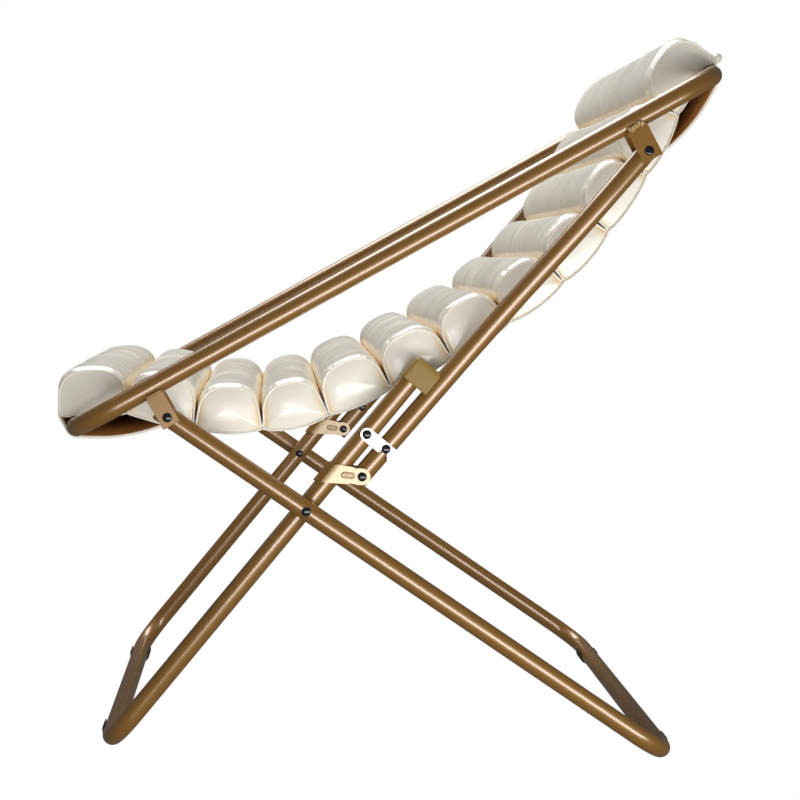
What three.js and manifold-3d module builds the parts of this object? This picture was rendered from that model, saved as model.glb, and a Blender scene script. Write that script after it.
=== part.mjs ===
// Folding lounge chair: a round steel tube frame with a channelled cushion seat slung in its hoop.
// Millimetres. +X is the sitter's right side, +Y the rear and high end, +Z up.
// The origin lies on the floor at the middle of the chair's plan.

import * as THREE from "three";
import { mergeVertices } from "three/addons/utils/BufferGeometryUtils.js";
import Module from "manifold-3d";

// Driving sizes of the frame
const tubeDiameter = 20;
const tubeWall = 1.4;
const frameWidth = 559;
const outerLegTop = { y: -223, z: 356 };
const rearFootY = 302;
const frontFootY = -279;
const glideDepth = 2;
const legCrossing = 168.5;
const footBend = 42;
const legSpacing = 25;
const hoopAngle = THREE.MathUtils.degToRad(30.5);
const hoopPivotSpan = 552;
const hoopPivotDrop = 34;
const hoopFrontReach = 92;
const hoopRearReach = 108;
const hoopBend = 55;
const hoopSeamGap = 0.8;
const spigotLength = 60;
const legTopReach = 12;
const innerLegReach = 184;
const bracketPivotUp = 61.4;
const bracketPivotOut = 23.8;
const strutEndReach = 8.9;
const strutLowerRun = 140;
const strutUpperRun = 50;

// Fits and cuts
const fit = 0.3;
const cutOverrun = 0.2;
const mergeTolerance = 0.001;

// Counts
const tubeSides = 24;
const boreSides = 14;
const bendSteps = 7;
const pinSides = 14;
const arcSteps = 10;

// Colours and finishes
const goldPaint = { color: 0x8a6430, roughness: 0.42, metalness: 0.7 };
const paleGold = { color: 0xb59a63, roughness: 0.45, metalness: 0.65 };
const blackSteel = { color: 0x111315, roughness: 0.3, metalness: 0.6 };
const zinc = { color: 0xd5d6d4, roughness: 0.28, metalness: 0.9 };
const olivePlastic = { color: 0x6f5c30, roughness: 0.5, metalness: 0.1 };
const darkPlastic = { color: 0x3a2a18, roughness: 0.6, metalness: 0 };
const creamLeather = { color: 0xeae3d0, roughness: 0.35, metalness: 0 };
const brownLining = { color: 0x63390f, roughness: 0.85, metalness: 0 };

const wasm = await Module();
wasm.setup();
const chair = new THREE.Group();

// Places worked out from the driving sizes. A place in side view is a Vector2 of Y and Z.
const tubeRadius = tubeDiameter / 2;
const barHeight = glideDepth + tubeRadius;
const outerX = (frameWidth - tubeDiameter) / 2;
const innerX = outerX - legSpacing;
const frontPivot = new THREE.Vector2(outerLegTop.y, outerLegTop.z);
const rearFoot = new THREE.Vector2(rearFootY, barHeight);
const frontFoot = new THREE.Vector2(frontFootY, barHeight);
const outerDirection = frontPivot.clone().sub(rearFoot).normalize();
const crossing = frontPivot.clone().addScaledVector(outerDirection, -legCrossing);
const innerDirection = crossing.clone().sub(frontFoot).normalize();
const innerNormal = new THREE.Vector2(innerDirection.y, -innerDirection.x);
const legPivot = alongInnerLeg(bracketPivotUp, bracketPivotOut);
const hoopDirection = new THREE.Vector2(Math.cos(hoopAngle), Math.sin(hoopAngle));
const hoopNormal = new THREE.Vector2(-hoopDirection.y, hoopDirection.x);
const rearPivot = frontPivot.clone().addScaledVector(hoopDirection, hoopPivotSpan);
const frontBar = alongHoop(-hoopFrontReach, hoopPivotDrop);
const rearBar = alongHoop(hoopPivotSpan + hoopRearReach, hoopPivotDrop);
const strutDirection = rearPivot.clone().sub(legPivot).normalize();
const strutLength = rearPivot.distanceTo(legPivot);
const outerLegLength = frontPivot.distanceTo(rearFoot) + legTopReach;
const innerLegLength = crossing.distanceTo(frontFoot) + innerLegReach;

// The place a distance up the inner leg from the crossing, and a distance out from it towards the strut.
function alongInnerLeg(up, out) {
  return crossing.clone().addScaledVector(innerDirection, up).addScaledVector(innerNormal, out);
}

// The place a distance back along the hoop from its front pivots, and a distance above the pivots' line.
function alongHoop(back, above) {
  return frontPivot.clone().addScaledVector(hoopDirection, back).addScaledVector(hoopNormal, above);
}

function inSpace(x, place) {
  return new THREE.Vector3(x, place.x, place.y);
}

// The frame of a side piece: its X runs along the direction, its Y up from it and its Z out of the side.
function sideFrame(x, place, direction) {
  const along = inSpace(0, direction);
  const up = new THREE.Vector3(0, -direction.y, direction.x);
  const out = new THREE.Vector3().crossVectors(along, up);
  return new THREE.Matrix4().makeBasis(along, up, out).setPosition(inSpace(x, place));
}

function toSolid(geometry) {
  const bare = geometry.clone();
  bare.deleteAttribute("normal");
  bare.deleteAttribute("uv");
  const merged = mergeVertices(bare, mergeTolerance);
  const vertProperties = merged.attributes.position.array;
  const triVerts = new Uint32Array(merged.index.array);
  return new wasm.Manifold(new wasm.Mesh({ numProp: 3, vertProperties, triVerts }));
}

function toGeometry(solid) {
  const mesh = solid.getMesh();
  const geometry = new THREE.BufferGeometry();
  geometry.setAttribute("position", new THREE.BufferAttribute(mesh.vertProperties, mesh.numProp));
  geometry.setIndex(new THREE.BufferAttribute(mesh.triVerts, 1));
  geometry.computeVertexNormals();
  return geometry;
}

function addPiece(name, geometry, finish, mirrored = false) {
  const piece = new THREE.Mesh(geometry, new THREE.MeshStandardMaterial(finish));
  piece.name = name;
  piece.scale.x = mirrored ? -1 : 1;
  chair.add(piece);
}

// Each side piece is made for the right side and mirrored to the left one.
function addPair(name, geometry, finish) {
  addPiece(name + "_right", geometry, finish);
  addPiece(name + "_left", geometry, finish, true);
}

// A closed skin over rings of points, with a fan over each end.
function loft(rings) {
  const count = rings[0].length;
  const positions = rings.flat().flatMap((point) => point.toArray());
  const centre = (ring) => ring.reduce((sum, p) => sum.add(p), new THREE.Vector3()).divideScalar(count);
  positions.push(...centre(rings[0]).toArray(), ...centre(rings.at(-1)).toArray());
  const faces = [];
  for (let k = 0; k + 1 < rings.length; k++) {
    for (let i = 0; i < count; i++) {
      const a = k * count + i;
      const b = k * count + ((i + 1) % count);
      faces.push(a, b, b + count, a, b + count, a + count);
    }
  }
  const last = (rings.length - 1) * count;
  const firstCentre = rings.length * count;
  for (let i = 0; i < count; i++) {
    const next = (i + 1) % count;
    faces.push(firstCentre, next, i);
    faces.push(firstCentre + 1, last + i, last + next);
  }
  const geometry = new THREE.BufferGeometry();
  geometry.setAttribute("position", new THREE.Float32BufferAttribute(positions, 3));
  geometry.setIndex(faces);
  geometry.computeVertexNormals();
  return geometry;
}

// Stations of a bent tube: straight corners of the path are turned into arcs of the bend radius.
function bentPath(corners, bend) {
  const stations = [{ point: corners[0], tangent: corners[1].clone().sub(corners[0]).normalize() }];
  for (let k = 1; k + 1 < corners.length; k++) {
    const before = corners[k].clone().sub(corners[k - 1]).normalize();
    const after = corners[k + 1].clone().sub(corners[k]).normalize();
    const turn = before.angleTo(after);
    const setback = bend * Math.tan(turn / 2);
    const axis = new THREE.Vector3().crossVectors(before, after).normalize();
    const inward = new THREE.Vector3().crossVectors(axis, before);
    const start = corners[k].clone().addScaledVector(before, -setback);
    const centre = start.clone().addScaledVector(inward, bend);
    for (let i = 0; i <= bendSteps; i++) {
      const angle = (turn * i) / bendSteps;
      const spoke = start.clone().sub(centre).applyAxisAngle(axis, angle);
      const tangent = before.clone().applyAxisAngle(axis, angle);
      stations.push({ point: centre.clone().add(spoke), tangent });
    }
  }
  const end = corners.at(-1);
  stations.push({ point: end, tangent: end.clone().sub(corners.at(-2)).normalize() });
  return stations;
}

// A round bar through the stations of a path that lies in the plane with the given normal.
function roundBar(stations, normal, radius, sides) {
  const rings = stations.map(({ point, tangent }) => {
    const across = new THREE.Vector3().crossVectors(tangent, normal);
    return Array.from({ length: sides }, (unused, i) => {
      const angle = (2 * Math.PI * i) / sides;
      const spoke = normal.clone().multiplyScalar(Math.cos(angle));
      return spoke.addScaledVector(across, Math.sin(angle)).multiplyScalar(radius).add(point);
    });
  });
  return toSolid(loft(rings));
}

// An open-ended tube along the stations.
function bentTube(stations, normal) {
  const first = stations[0];
  const last = stations.at(-1);
  const boreStations = [
    { point: first.point.clone().addScaledVector(first.tangent, -cutOverrun), tangent: first.tangent },
    ...stations.slice(1, -1),
    { point: last.point.clone().addScaledVector(last.tangent, cutOverrun), tangent: last.tangent },
  ];
  const bore = roundBar(boreStations, normal, tubeRadius - tubeWall, boreSides);
  return roundBar(stations, normal, tubeRadius, tubeSides).subtract(bore);
}

// A rod along X for a bore or a pin, centred on x.
function crossRod(x, place, radius, length, sides = pinSides) {
  const rod = new THREE.CylinderGeometry(radius, radius, length, sides);
  rod.rotateZ(Math.PI / 2);
  rod.translate(x, place.x, place.y);
  return toSolid(rod);
}

// A rod of the tube's section along a direction in side view, for seats that hold a tube.
function seatRod(frame, radius, length) {
  const rod = new THREE.CylinderGeometry(radius, radius, length, tubeSides);
  rod.rotateZ(Math.PI / 2);
  rod.applyMatrix4(frame);
  return toSolid(rod);
}

// A block in a side frame, from its low corner to its high corner.
function sideBlock(frame, low, high) {
  const size = high.clone().sub(low);
  const block = new THREE.BoxGeometry(size.x, size.y, size.z);
  const middle = low.clone().add(high).multiplyScalar(0.5);
  block.translate(middle.x, middle.y, middle.z);
  block.applyMatrix4(frame);
  return toSolid(block);
}

// A flat outline in a side frame, made as thick as asked, with its middle plane at a depth out of the side.
function sidePlate(frame, shape, thickness, middle = 0) {
  const settings = { depth: thickness, bevelEnabled: false, curveSegments: arcSteps };
  const plate = new THREE.ExtrudeGeometry(shape, settings);
  plate.translate(0, 0, middle - thickness / 2);
  plate.applyMatrix4(frame);
  return toSolid(plate);
}

// Rivets: domed heads on a shank along X
const rivetRadius = 3;
const rivetHeadRadius = 4.75;
const rivetHeadHeight = 2.2;
const rivetDomeShare = 0.7;

function holeThrough(place) {
  return crossRod(0, place, rivetRadius + fit, frameWidth + tubeDiameter);
}

// The points of a domed head, from its rim to its top, at the end of a shank.
function domedHead(base, way) {
  return [
    new THREE.Vector2(rivetHeadRadius, base),
    new THREE.Vector2(rivetHeadRadius * rivetDomeShare, base + way * rivetHeadHeight * rivetDomeShare),
    new THREE.Vector2(0, base + way * rivetHeadHeight),
  ];
}

// A rivet between two faces, with a head beyond each face that is asked for.
function rivet(place, innerFace, outerFace, hasInnerHead = true, hasOuterHead = true) {
  const inner = hasInnerHead
    ? [...domedHead(innerFace, -1).reverse(), new THREE.Vector2(rivetRadius, innerFace)]
    : [new THREE.Vector2(0, innerFace), new THREE.Vector2(rivetRadius, innerFace)];
  const outer = hasOuterHead
    ? [new THREE.Vector2(rivetRadius, outerFace), ...domedHead(outerFace, 1)]
    : [new THREE.Vector2(rivetRadius, outerFace), new THREE.Vector2(0, outerFace)];
  const turned = new THREE.LatheGeometry([...inner, ...outer], pinSides);
  turned.rotateZ(-Math.PI / 2);
  turned.translate(0, place.x, place.y);
  return turned;
}

// The hoop: one tube bent to a long rounded rectangle, butted at the middle of its rear bar over a spigot
function hoopPath() {
  const seam = hoopSeamGap / 2;
  const corners = [
    inSpace(seam, rearBar),
    inSpace(outerX, rearBar),
    inSpace(outerX, frontBar),
    inSpace(-outerX, frontBar),
    inSpace(-outerX, rearBar),
    inSpace(-seam, rearBar),
  ];
  return bentPath(corners, hoopBend);
}

function makeHoop() {
  addPiece("hoop_tube", toGeometry(bentTube(hoopPath(), inSpace(0, hoopNormal))), goldPaint);
  const spigot = new THREE.CylinderGeometry(
    tubeRadius - tubeWall - fit,
    tubeRadius - tubeWall - fit,
    spigotLength,
    pinSides,
  );
  spigot.rotateZ(Math.PI / 2);
  spigot.translate(0, rearBar.x, rearBar.y);
  addPiece("hoop_spigot", spigot, blackSteel);
}

// A leg frame: a U of tube whose base bar lies on the floor and whose tops stand a length up a direction.
function legTube(halfWidth, foot, direction, length) {
  const top = foot.clone().addScaledVector(direction, length);
  const corners = [
    inSpace(halfWidth, top),
    inSpace(halfWidth, foot),
    inSpace(-halfWidth, foot),
    inSpace(-halfWidth, top),
  ];
  const normal = new THREE.Vector3(0, -direction.y, direction.x);
  return bentTube(bentPath(corners, footBend), normal);
}

function makeLegFrames() {
  const outer = legTube(outerX, rearFoot, outerDirection, outerLegLength)
    .subtract(holeThrough(frontPivot))
    .subtract(holeThrough(crossing));
  addPiece("outer_leg_frame", toGeometry(outer), goldPaint);
  const inner = legTube(innerX, frontFoot, innerDirection, innerLegLength)
    .subtract(holeThrough(crossing))
    .subtract(holeThrough(latchPivot));
  addPiece("inner_leg_frame", toGeometry(inner), goldPaint);
}

// Struts: straight in side view, joggled outwards from the inner leg's plane to the hoop's plane
function makeStruts() {
  const at = (x, run) => inSpace(x, legPivot.clone().addScaledVector(strutDirection, run));
  const points = [
    at(innerX, -strutEndReach),
    at(innerX, strutLowerRun),
    at(outerX, strutLength - strutUpperRun),
    at(outerX, strutLength + strutEndReach),
  ];
  const square = inSpace(0, strutDirection);
  const stations = points.map((point) => ({ point, tangent: square }));
  const normal = new THREE.Vector3(0, -strutDirection.y, strutDirection.x);
  const strut = bentTube(stations, normal)
    .subtract(holeThrough(legPivot))
    .subtract(holeThrough(rearPivot))
    .subtract(holeThrough(latchStud));
  addPair("strut", toGeometry(strut), goldPaint);
}

// Hoop brackets: U channels under the hoop that hold an outer leg's top or a strut's top
const plateThickness = 1.8;
const hoopBracketWidth = 21;
const hoopBracketTail = 9;

function hoopBracket(pivot) {
  const halfGap = tubeRadius + fit;
  const halfOuter = halfGap + plateThickness;
  const half = hoopBracketWidth / 2;
  const frame = sideFrame(outerX, pivot, hoopDirection);
  const block = sideBlock(
    frame,
    new THREE.Vector3(-half, -hoopBracketTail, -halfOuter),
    new THREE.Vector3(half, hoopPivotDrop, halfOuter),
  );
  const mouth = sideBlock(
    frame,
    new THREE.Vector3(-half - cutOverrun, -hoopBracketTail - cutOverrun, -halfGap),
    new THREE.Vector3(half + cutOverrun, hoopPivotDrop - halfOuter, halfGap),
  );
  const tubeCentre = pivot.clone().addScaledVector(hoopNormal, hoopPivotDrop);
  const tubeSeat = seatRod(sideFrame(outerX, tubeCentre, hoopDirection), halfGap, 2 * hoopBracketWidth);
  return toGeometry(block.subtract(mouth).subtract(tubeSeat).subtract(holeThrough(pivot)));
}

// Leg brackets: pressed plates wrapped round the inner legs, with two ears that hold the struts' lower ends
const earRadius = 8.5;
const wrapHalfDepth = 9.8;
const wrapDrop = 10.1;
const embossLength = 14;
const embossWidth = 6;
const embossHeight = 0.8;
const embossBack = 14.5;

function earOutline(back, reach) {
  const shape = new THREE.Shape();
  shape.moveTo(-back, -wrapHalfDepth);
  shape.lineTo(reach, -earRadius);
  shape.absarc(reach, 0, earRadius, -Math.PI / 2, Math.PI / 2, false);
  shape.lineTo(-back, wrapHalfDepth);
  shape.closePath();
  return shape;
}

function slotOutline(length, width) {
  const radius = width / 2;
  const half = length / 2 - radius;
  const shape = new THREE.Shape();
  shape.absarc(half, 0, radius, -Math.PI / 2, Math.PI / 2, false);
  shape.absarc(-half, 0, radius, Math.PI / 2, 1.5 * Math.PI, false);
  shape.closePath();
  return shape;
}

function legBracket() {
  const halfGap = tubeRadius + fit;
  const halfOuter = halfGap + plateThickness;
  const wrapCentre = alongInnerLeg(bracketPivotUp - wrapDrop, 0);
  const reach = wrapCentre.distanceTo(legPivot);
  const earDirection = legPivot.clone().sub(wrapCentre).normalize();
  const legFrame = sideFrame(innerX, wrapCentre, innerDirection);
  const earFrame = sideFrame(innerX, wrapCentre, earDirection);
  const plate = sidePlate(earFrame, earOutline(halfOuter, reach), 2 * halfOuter);
  const band = seatRod(legFrame, halfOuter, 2 * reach);
  const earSide = sideBlock(
    legFrame,
    new THREE.Vector3(-reach, -2 * reach, -halfOuter),
    new THREE.Vector3(reach, 0, halfOuter),
  );
  const mouth = sideBlock(
    legFrame,
    new THREE.Vector3(-2 * reach, -3 * reach, -halfGap),
    new THREE.Vector3(2 * reach, 0, halfGap),
  );
  const tubeSeat = seatRod(legFrame, halfGap, 3 * reach);
  const embossPlace = legPivot.clone().addScaledVector(earDirection, -embossBack);
  const emboss = sidePlate(
    sideFrame(innerX, embossPlace, earDirection),
    slotOutline(embossLength, embossWidth),
    embossHeight + plateThickness / 2,
    halfOuter + (embossHeight - plateThickness / 2) / 2,
  );
  const wrapped = plate.intersect(band.add(earSide)).subtract(tubeSeat).subtract(mouth);
  return toGeometry(wrapped.add(emboss).subtract(holeThrough(legPivot)));
}

// Saddle caps: plastic blocks on the inner legs' tops, hollowed for the strut that rests against them
const capBelow = 20;
const capAbove = 10;
const capWall = 2;
const capSaddleReach = 23;
const capCorner = 3;

function saddleCap() {
  const half = tubeRadius + capWall;
  const shape = new THREE.Shape();
  shape.moveTo(-capBelow, -capSaddleReach);
  shape.lineTo(capAbove - capCorner, -capSaddleReach);
  shape.absarc(capAbove - capCorner, capCorner - capSaddleReach, capCorner, -Math.PI / 2, 0, false);
  shape.lineTo(capAbove, half - capCorner);
  shape.absarc(capAbove - capCorner, half - capCorner, capCorner, 0, Math.PI / 2, false);
  shape.lineTo(-capBelow, half);
  shape.closePath();
  const legEnd = alongInnerLeg(innerLegReach, 0);
  const frame = sideFrame(innerX, legEnd, innerDirection);
  const socketMiddle = alongInnerLeg(innerLegReach + fit - capBelow, 0);
  const socket = seatRod(sideFrame(innerX, socketMiddle, innerDirection), tubeRadius + fit, 2 * capBelow);
  const run = legEnd.clone().sub(legPivot).dot(strutDirection);
  const strutPlace = legPivot.clone().addScaledVector(strutDirection, run);
  const saddle = seatRod(sideFrame(innerX, strutPlace, strutDirection), tubeRadius + fit, 4 * capBelow);
  return toGeometry(sidePlate(frame, shape, 2 * half).subtract(socket).subtract(saddle));
}

// Hook latches: plates on the outer face of the inner legs that hook over a stud on the strut
const latchUp = 98;
const latchStudRun = 37.5;
const latchRadius = 7;
const latchThickness = 1.4;
const latchLength = 42;
const latchPivot = alongInnerLeg(latchUp, 0);
const latchStud = legPivot.clone().addScaledVector(strutDirection, latchStudRun);
const studOut = latchStud.clone().sub(latchPivot).dot(innerNormal);
const studUp = latchStud.clone().sub(latchPivot).dot(innerDirection);
const latchFace = innerX + tubeRadius + fit;

// The outline, with X out towards the strut and Y up the leg: a round end, a straight back and a hooked lip
// whose mouth slopes down and out, the way the stud leaves it as the hook lifts.
function latchOutline() {
  const slack = rivetRadius + 2 * fit;
  const shape = new THREE.Shape();
  shape.absarc(0, 0, latchRadius, Math.PI / 2, 1.5 * Math.PI, false);
  shape.lineTo(studOut - slack - 1.5 * fit, -latchRadius);
  shape.lineTo(studOut - slack, studUp);
  shape.absarc(studOut, studUp, slack, Math.PI, Math.PI / 3, true);
  shape.lineTo(latchLength - latchRadius / 2, -latchRadius / 2);
  shape.lineTo(latchLength, -latchRadius / 4);
  const backEnd = latchLength - latchRadius;
  shape.quadraticCurveTo(latchLength - latchRadius / 4, latchRadius, backEnd, latchRadius);
  shape.closePath();
  return shape;
}

function hookLatch() {
  const frame = sideFrame(latchFace + latchThickness / 2, latchPivot, innerNormal);
  const hole = crossRod(latchFace, latchPivot, rivetRadius + fit, tubeRadius);
  return toGeometry(sidePlate(frame, latchOutline(), latchThickness).subtract(hole));
}

function makeFittings() {
  addPair("hoop_bracket_front", hoopBracket(frontPivot), goldPaint);
  addPair("hoop_bracket_rear", hoopBracket(rearPivot), goldPaint);
  addPair("leg_bracket", legBracket(), paleGold);
  addPair("saddle_cap", saddleCap(), olivePlastic);
  addPair("hook_latch", hookLatch(), zinc);
}

function makeRivets() {
  const plateFace = tubeRadius + 2 * fit + plateThickness;
  const tubeFace = tubeRadius + fit;
  const latchOuterFace = latchFace + latchThickness + fit;
  addPair("front_pivot_rivet", rivet(frontPivot, outerX - plateFace, outerX + plateFace), blackSteel);
  addPair("rear_pivot_rivet", rivet(rearPivot, outerX - plateFace, outerX + plateFace), blackSteel);
  addPair("leg_pivot_rivet", rivet(legPivot, innerX - plateFace, innerX + plateFace), blackSteel);
  addPair("latch_pivot_rivet", rivet(latchPivot, innerX - tubeFace, latchOuterFace), blackSteel);
  addPair("latch_stud_rivet", rivet(latchStud, innerX - tubeFace, latchOuterFace), blackSteel);
  const outerHalf = rivet(crossing, innerX + tubeFace + fit, outerX + tubeFace, false, true);
  const innerHalf = rivet(crossing, innerX - tubeFace, innerX + tubeRadius, true, false);
  addPair("crossing_rivet_outer", outerHalf, blackSteel);
  addPair("crossing_rivet_inner", innerHalf, blackSteel);
}

// Spacer washers between the crossing legs
const washerRadius = 8;

function makeWashers() {
  const thickness = legSpacing - tubeDiameter - 2 * fit;
  const x = (outerX + innerX) / 2;
  const disc = crossRod(x, crossing, washerRadius, thickness, tubeSides);
  addPair("crossing_washer", toGeometry(disc.subtract(holeThrough(crossing))), blackSteel);
}

// Glides: plastic clips under the base bars, flat where they stand on the floor
const glideWidth = 26;
const glideWall = 2;
const glideOpening = 4;
const glideInset = 70;

function glide(x, foot) {
  const outerRadius = tubeRadius + fit + glideWall;
  const level = new THREE.Vector2(1, 0);
  const frame = sideFrame(x, foot, level);
  const half = glideWidth / 2;
  const sleeve = crossRod(x, foot, outerRadius, glideWidth, tubeSides);
  const bore = crossRod(x, foot, tubeRadius + fit, 2 * glideWidth, tubeSides);
  const span = sideBlock(
    frame,
    new THREE.Vector3(-outerRadius, -barHeight, -half - cutOverrun),
    new THREE.Vector3(outerRadius, glideOpening, half + cutOverrun),
  );
  return toGeometry(sleeve.intersect(span).subtract(bore));
}

function makeGlides() {
  addPair("glide_rear", glide(outerX - glideInset, rearFoot), darkPlastic);
  addPair("glide_front", glide(innerX - glideInset, frontFoot), darkPlastic);
}

// The seat: twelve stuffed channels across a slung curve, each with a crown, drawn-in ends and creases
const rollCount = 12;
const seatSideClearance = 7.5;
const rollHalfLength = innerX - tubeRadius - capWall - seatSideClearance;
const rollHeight = 50;
const rollBelly = 6;
const rollGap = 0.4;
const rollShoulder = 22;
const rollCornerRise = 3;
const rollEndRounding = 3;
const rollCrownRise = 2;
const rollSquareness = 0.7;
const domeSteps = 10;
const bellySteps = 6;
const rollStationShares = [-1, -0.6, 0, 0.6, 1];

// The slung curve under the rolls: shares of the way back from the hoop's front bar to its rear bar, and
// shares of the sag, up from the line between the bars
const seatSag = 125;
const seatShares = [
  [-0.0144, 0.158],
  [0.073, -0.115],
  [0.139, -0.469],
  [0.219, -0.753],
  [0.307, -0.919],
  [0.497, -0.998],
  [0.687, -0.9],
  [0.852, -0.47],
  [0.961, -0.03],
  [1.0165, 0.126],
];
const seatPlaces = seatShares.map(([backShare, riseShare]) => {
  const onLine = new THREE.Vector2().lerpVectors(frontBar, rearBar, backShare);
  return onLine.addScaledVector(hoopNormal, riseShare * seatSag);
});
const seatCurve = new THREE.SplineCurve(seatPlaces);

// The place at a share of the seat curve's length and a height above it.
function overSeat(share, height) {
  const tangent = seatCurve.getTangentAt(share);
  const place = seatCurve.getPointAt(share);
  return new THREE.Vector2(place.x - tangent.y * height, place.y + tangent.x * height);
}

// The outline of a roll's section: pairs of a share across the roll, front to rear, and a height.
function rollSection(height) {
  const dome = Array.from({ length: domeSteps + 1 }, (unused, i) => {
    const angle = (Math.PI * i) / domeSteps;
    const across = Math.sign(Math.cos(angle)) * Math.abs(Math.cos(angle)) ** rollSquareness;
    return [(1 + across) / 2, rollShoulder + (height - rollShoulder) * Math.sin(angle)];
  });
  const belly = Array.from({ length: bellySteps - 1 }, (unused, i) => {
    const share = (i + 1) / bellySteps;
    return [share, -rollBelly * Math.sin(Math.PI * share)];
  });
  return [[1, rollCornerRise], ...dome, [0, rollCornerRise], ...belly];
}

// One ring of a roll: its section at x, drawn in by an inset on all sides.
function rollRing(index, x, height, inset) {
  const pitch = seatCurve.getLength() / rollCount;
  const margin = (rollGap / 2 + inset) / pitch;
  return rollSection(height).map(([across, up]) => {
    const share = (index + margin + across * (1 - 2 * margin)) / rollCount;
    const middle = rollShoulder;
    const drawn = middle + (up - middle) * (1 - inset / middle);
    return inSpace(x, overSeat(share, drawn));
  });
}

// The space that the hoop and its pockets take, closed over the hoop's seam.
function hoopEnvelope() {
  const radius = tubeRadius + 2 * fit + pocketThickness;
  const overSeam = crossRod(0, rearBar, radius, spigotLength, tubeSides);
  return roundBar(hoopPath(), inSpace(0, hoopNormal), radius, tubeSides).add(overSeam);
}

function makeSeat() {
  const envelope = hoopEnvelope();
  for (let index = 0; index < rollCount; index++) {
    const faceX = rollHalfLength - rollEndRounding;
    const inner = rollStationShares.map((share) => {
      const height = rollHeight + rollCrownRise * Math.cos((Math.PI / 2) * share);
      return rollRing(index, share * faceX, height, 0);
    });
    const ends = [-1, 1].map((side) => rollRing(index, side * rollHalfLength, rollHeight, rollEndRounding));
    const roll = toSolid(loft([ends[0], ...inner, ends[1]])).subtract(envelope);
    addPiece("seat_roll_" + String(index + 1).padStart(2, "0"), toGeometry(roll), creamLeather);
  }
}

// Pockets: fabric sheets stitched under the seat that wrap round the hoop's end bars
const pocketThickness = 1.2;
const pocketEndClearance = 9.5;
const pocketHalfLength = outerX - hoopBend - pocketEndClearance;
const pocketSeamDrop = rollBelly + fit + pocketThickness / 2;
const pocketArcSteps = 8;
const frontPocketSeamShare = 1.55 / rollCount;
const rearPocketSeamShare = 10.45 / rollCount;
const frontPocketEnd = THREE.MathUtils.degToRad(-200);
const rearPocketEnd = THREE.MathUtils.degToRad(75);

// A sheet from a seam under the seat to the bar and round it, clockwise or the other way, to an end angle.
function pocket(bar, seamShare, way, endAngle) {
  const start = overSeat(seamShare, -pocketSeamDrop);
  const radius = tubeRadius + fit + pocketThickness / 2;
  const toStart = start.clone().sub(bar);
  const touch = Math.atan2(toStart.y, toStart.x) + way * Math.acos(radius / toStart.length());
  const arc = Array.from({ length: pocketArcSteps + 1 }, (unused, i) => {
    const angle = touch + ((endAngle - touch) * i) / pocketArcSteps;
    return bar.clone().add(new THREE.Vector2(radius * Math.cos(angle), radius * Math.sin(angle)));
  });
  const middle = [start, ...arc];
  const edge = (side) =>
    middle.map((place, i) => {
      const before = middle[Math.max(i - 1, 0)];
      const after = middle[Math.min(i + 1, middle.length - 1)];
      const tangent = after.clone().sub(before).normalize();
      const square = new THREE.Vector2(-tangent.y, tangent.x);
      return square.multiplyScalar((side * pocketThickness) / 2).add(place);
    });
  const shape = new THREE.Shape([...edge(1), ...edge(-1).reverse()]);
  const sheet = new THREE.ExtrudeGeometry(shape, { depth: 2 * pocketHalfLength, bevelEnabled: false });
  const level = sideFrame(-pocketHalfLength, new THREE.Vector2(0, 0), new THREE.Vector2(1, 0));
  sheet.applyMatrix4(level);
  return sheet;
}

function makePockets() {
  addPiece("front_pocket", pocket(frontBar, frontPocketSeamShare, -1, frontPocketEnd), brownLining);
  addPiece("rear_pocket", pocket(rearBar, rearPocketSeamShare, 1, rearPocketEnd), brownLining);
}

makeHoop();
makeLegFrames();
makeStruts();
makeFittings();
makeRivets();
makeWashers();
makeGlides();
makeSeat();
makePockets();

export default chair;
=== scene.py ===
"""A folding lounge chair: a gold tube frame with a seat of twelve stuffed rolls slung in its hoop."""

import math

import bmesh
import bpy
import numpy as np
from mathutils import Matrix, Vector


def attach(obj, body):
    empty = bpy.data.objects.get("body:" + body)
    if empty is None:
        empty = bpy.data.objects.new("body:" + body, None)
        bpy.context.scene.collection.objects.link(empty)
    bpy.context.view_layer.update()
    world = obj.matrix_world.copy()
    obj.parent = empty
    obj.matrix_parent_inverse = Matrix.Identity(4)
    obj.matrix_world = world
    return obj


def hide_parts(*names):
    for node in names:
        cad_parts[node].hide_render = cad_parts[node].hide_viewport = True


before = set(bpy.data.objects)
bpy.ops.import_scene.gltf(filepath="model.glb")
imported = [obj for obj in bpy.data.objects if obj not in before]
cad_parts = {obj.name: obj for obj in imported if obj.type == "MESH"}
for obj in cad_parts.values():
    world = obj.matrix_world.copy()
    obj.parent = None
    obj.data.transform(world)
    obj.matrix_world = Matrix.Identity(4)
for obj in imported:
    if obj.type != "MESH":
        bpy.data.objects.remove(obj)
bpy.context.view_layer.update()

# Camera. The chair is seen from the sitter's right side, from two metres away and a little above the seat,
# with the camera turned slightly to the rear, tipped down and rolled.
camera_place = (1.9809, -0.1184, 0.5179)
camera_yaw = math.radians(4.291)
camera_pitch = math.radians(4.654)
camera_roll = math.radians(1.722)
sensor_width = 36
focal_share = 2.125

forward = Vector((
    -math.cos(camera_pitch) * math.cos(camera_yaw),
    math.cos(camera_pitch) * math.sin(camera_yaw),
    -math.sin(camera_pitch),
))
level_right = forward.cross(Vector((0, 0, 1))).normalized()
level_up = level_right.cross(forward)
right = math.cos(camera_roll) * level_right + math.sin(camera_roll) * level_up
up = math.cos(camera_roll) * level_up - math.sin(camera_roll) * level_right
camera = bpy.data.objects.new("camera", bpy.data.cameras.new("camera"))
camera.data.sensor_width = sensor_width
camera.data.lens = focal_share * sensor_width
camera.matrix_world = Matrix.Translation(camera_place) @ Matrix((right, up, -forward)).transposed().to_4x4()
bpy.context.scene.collection.objects.link(camera)
bpy.context.scene.camera = camera

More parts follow.
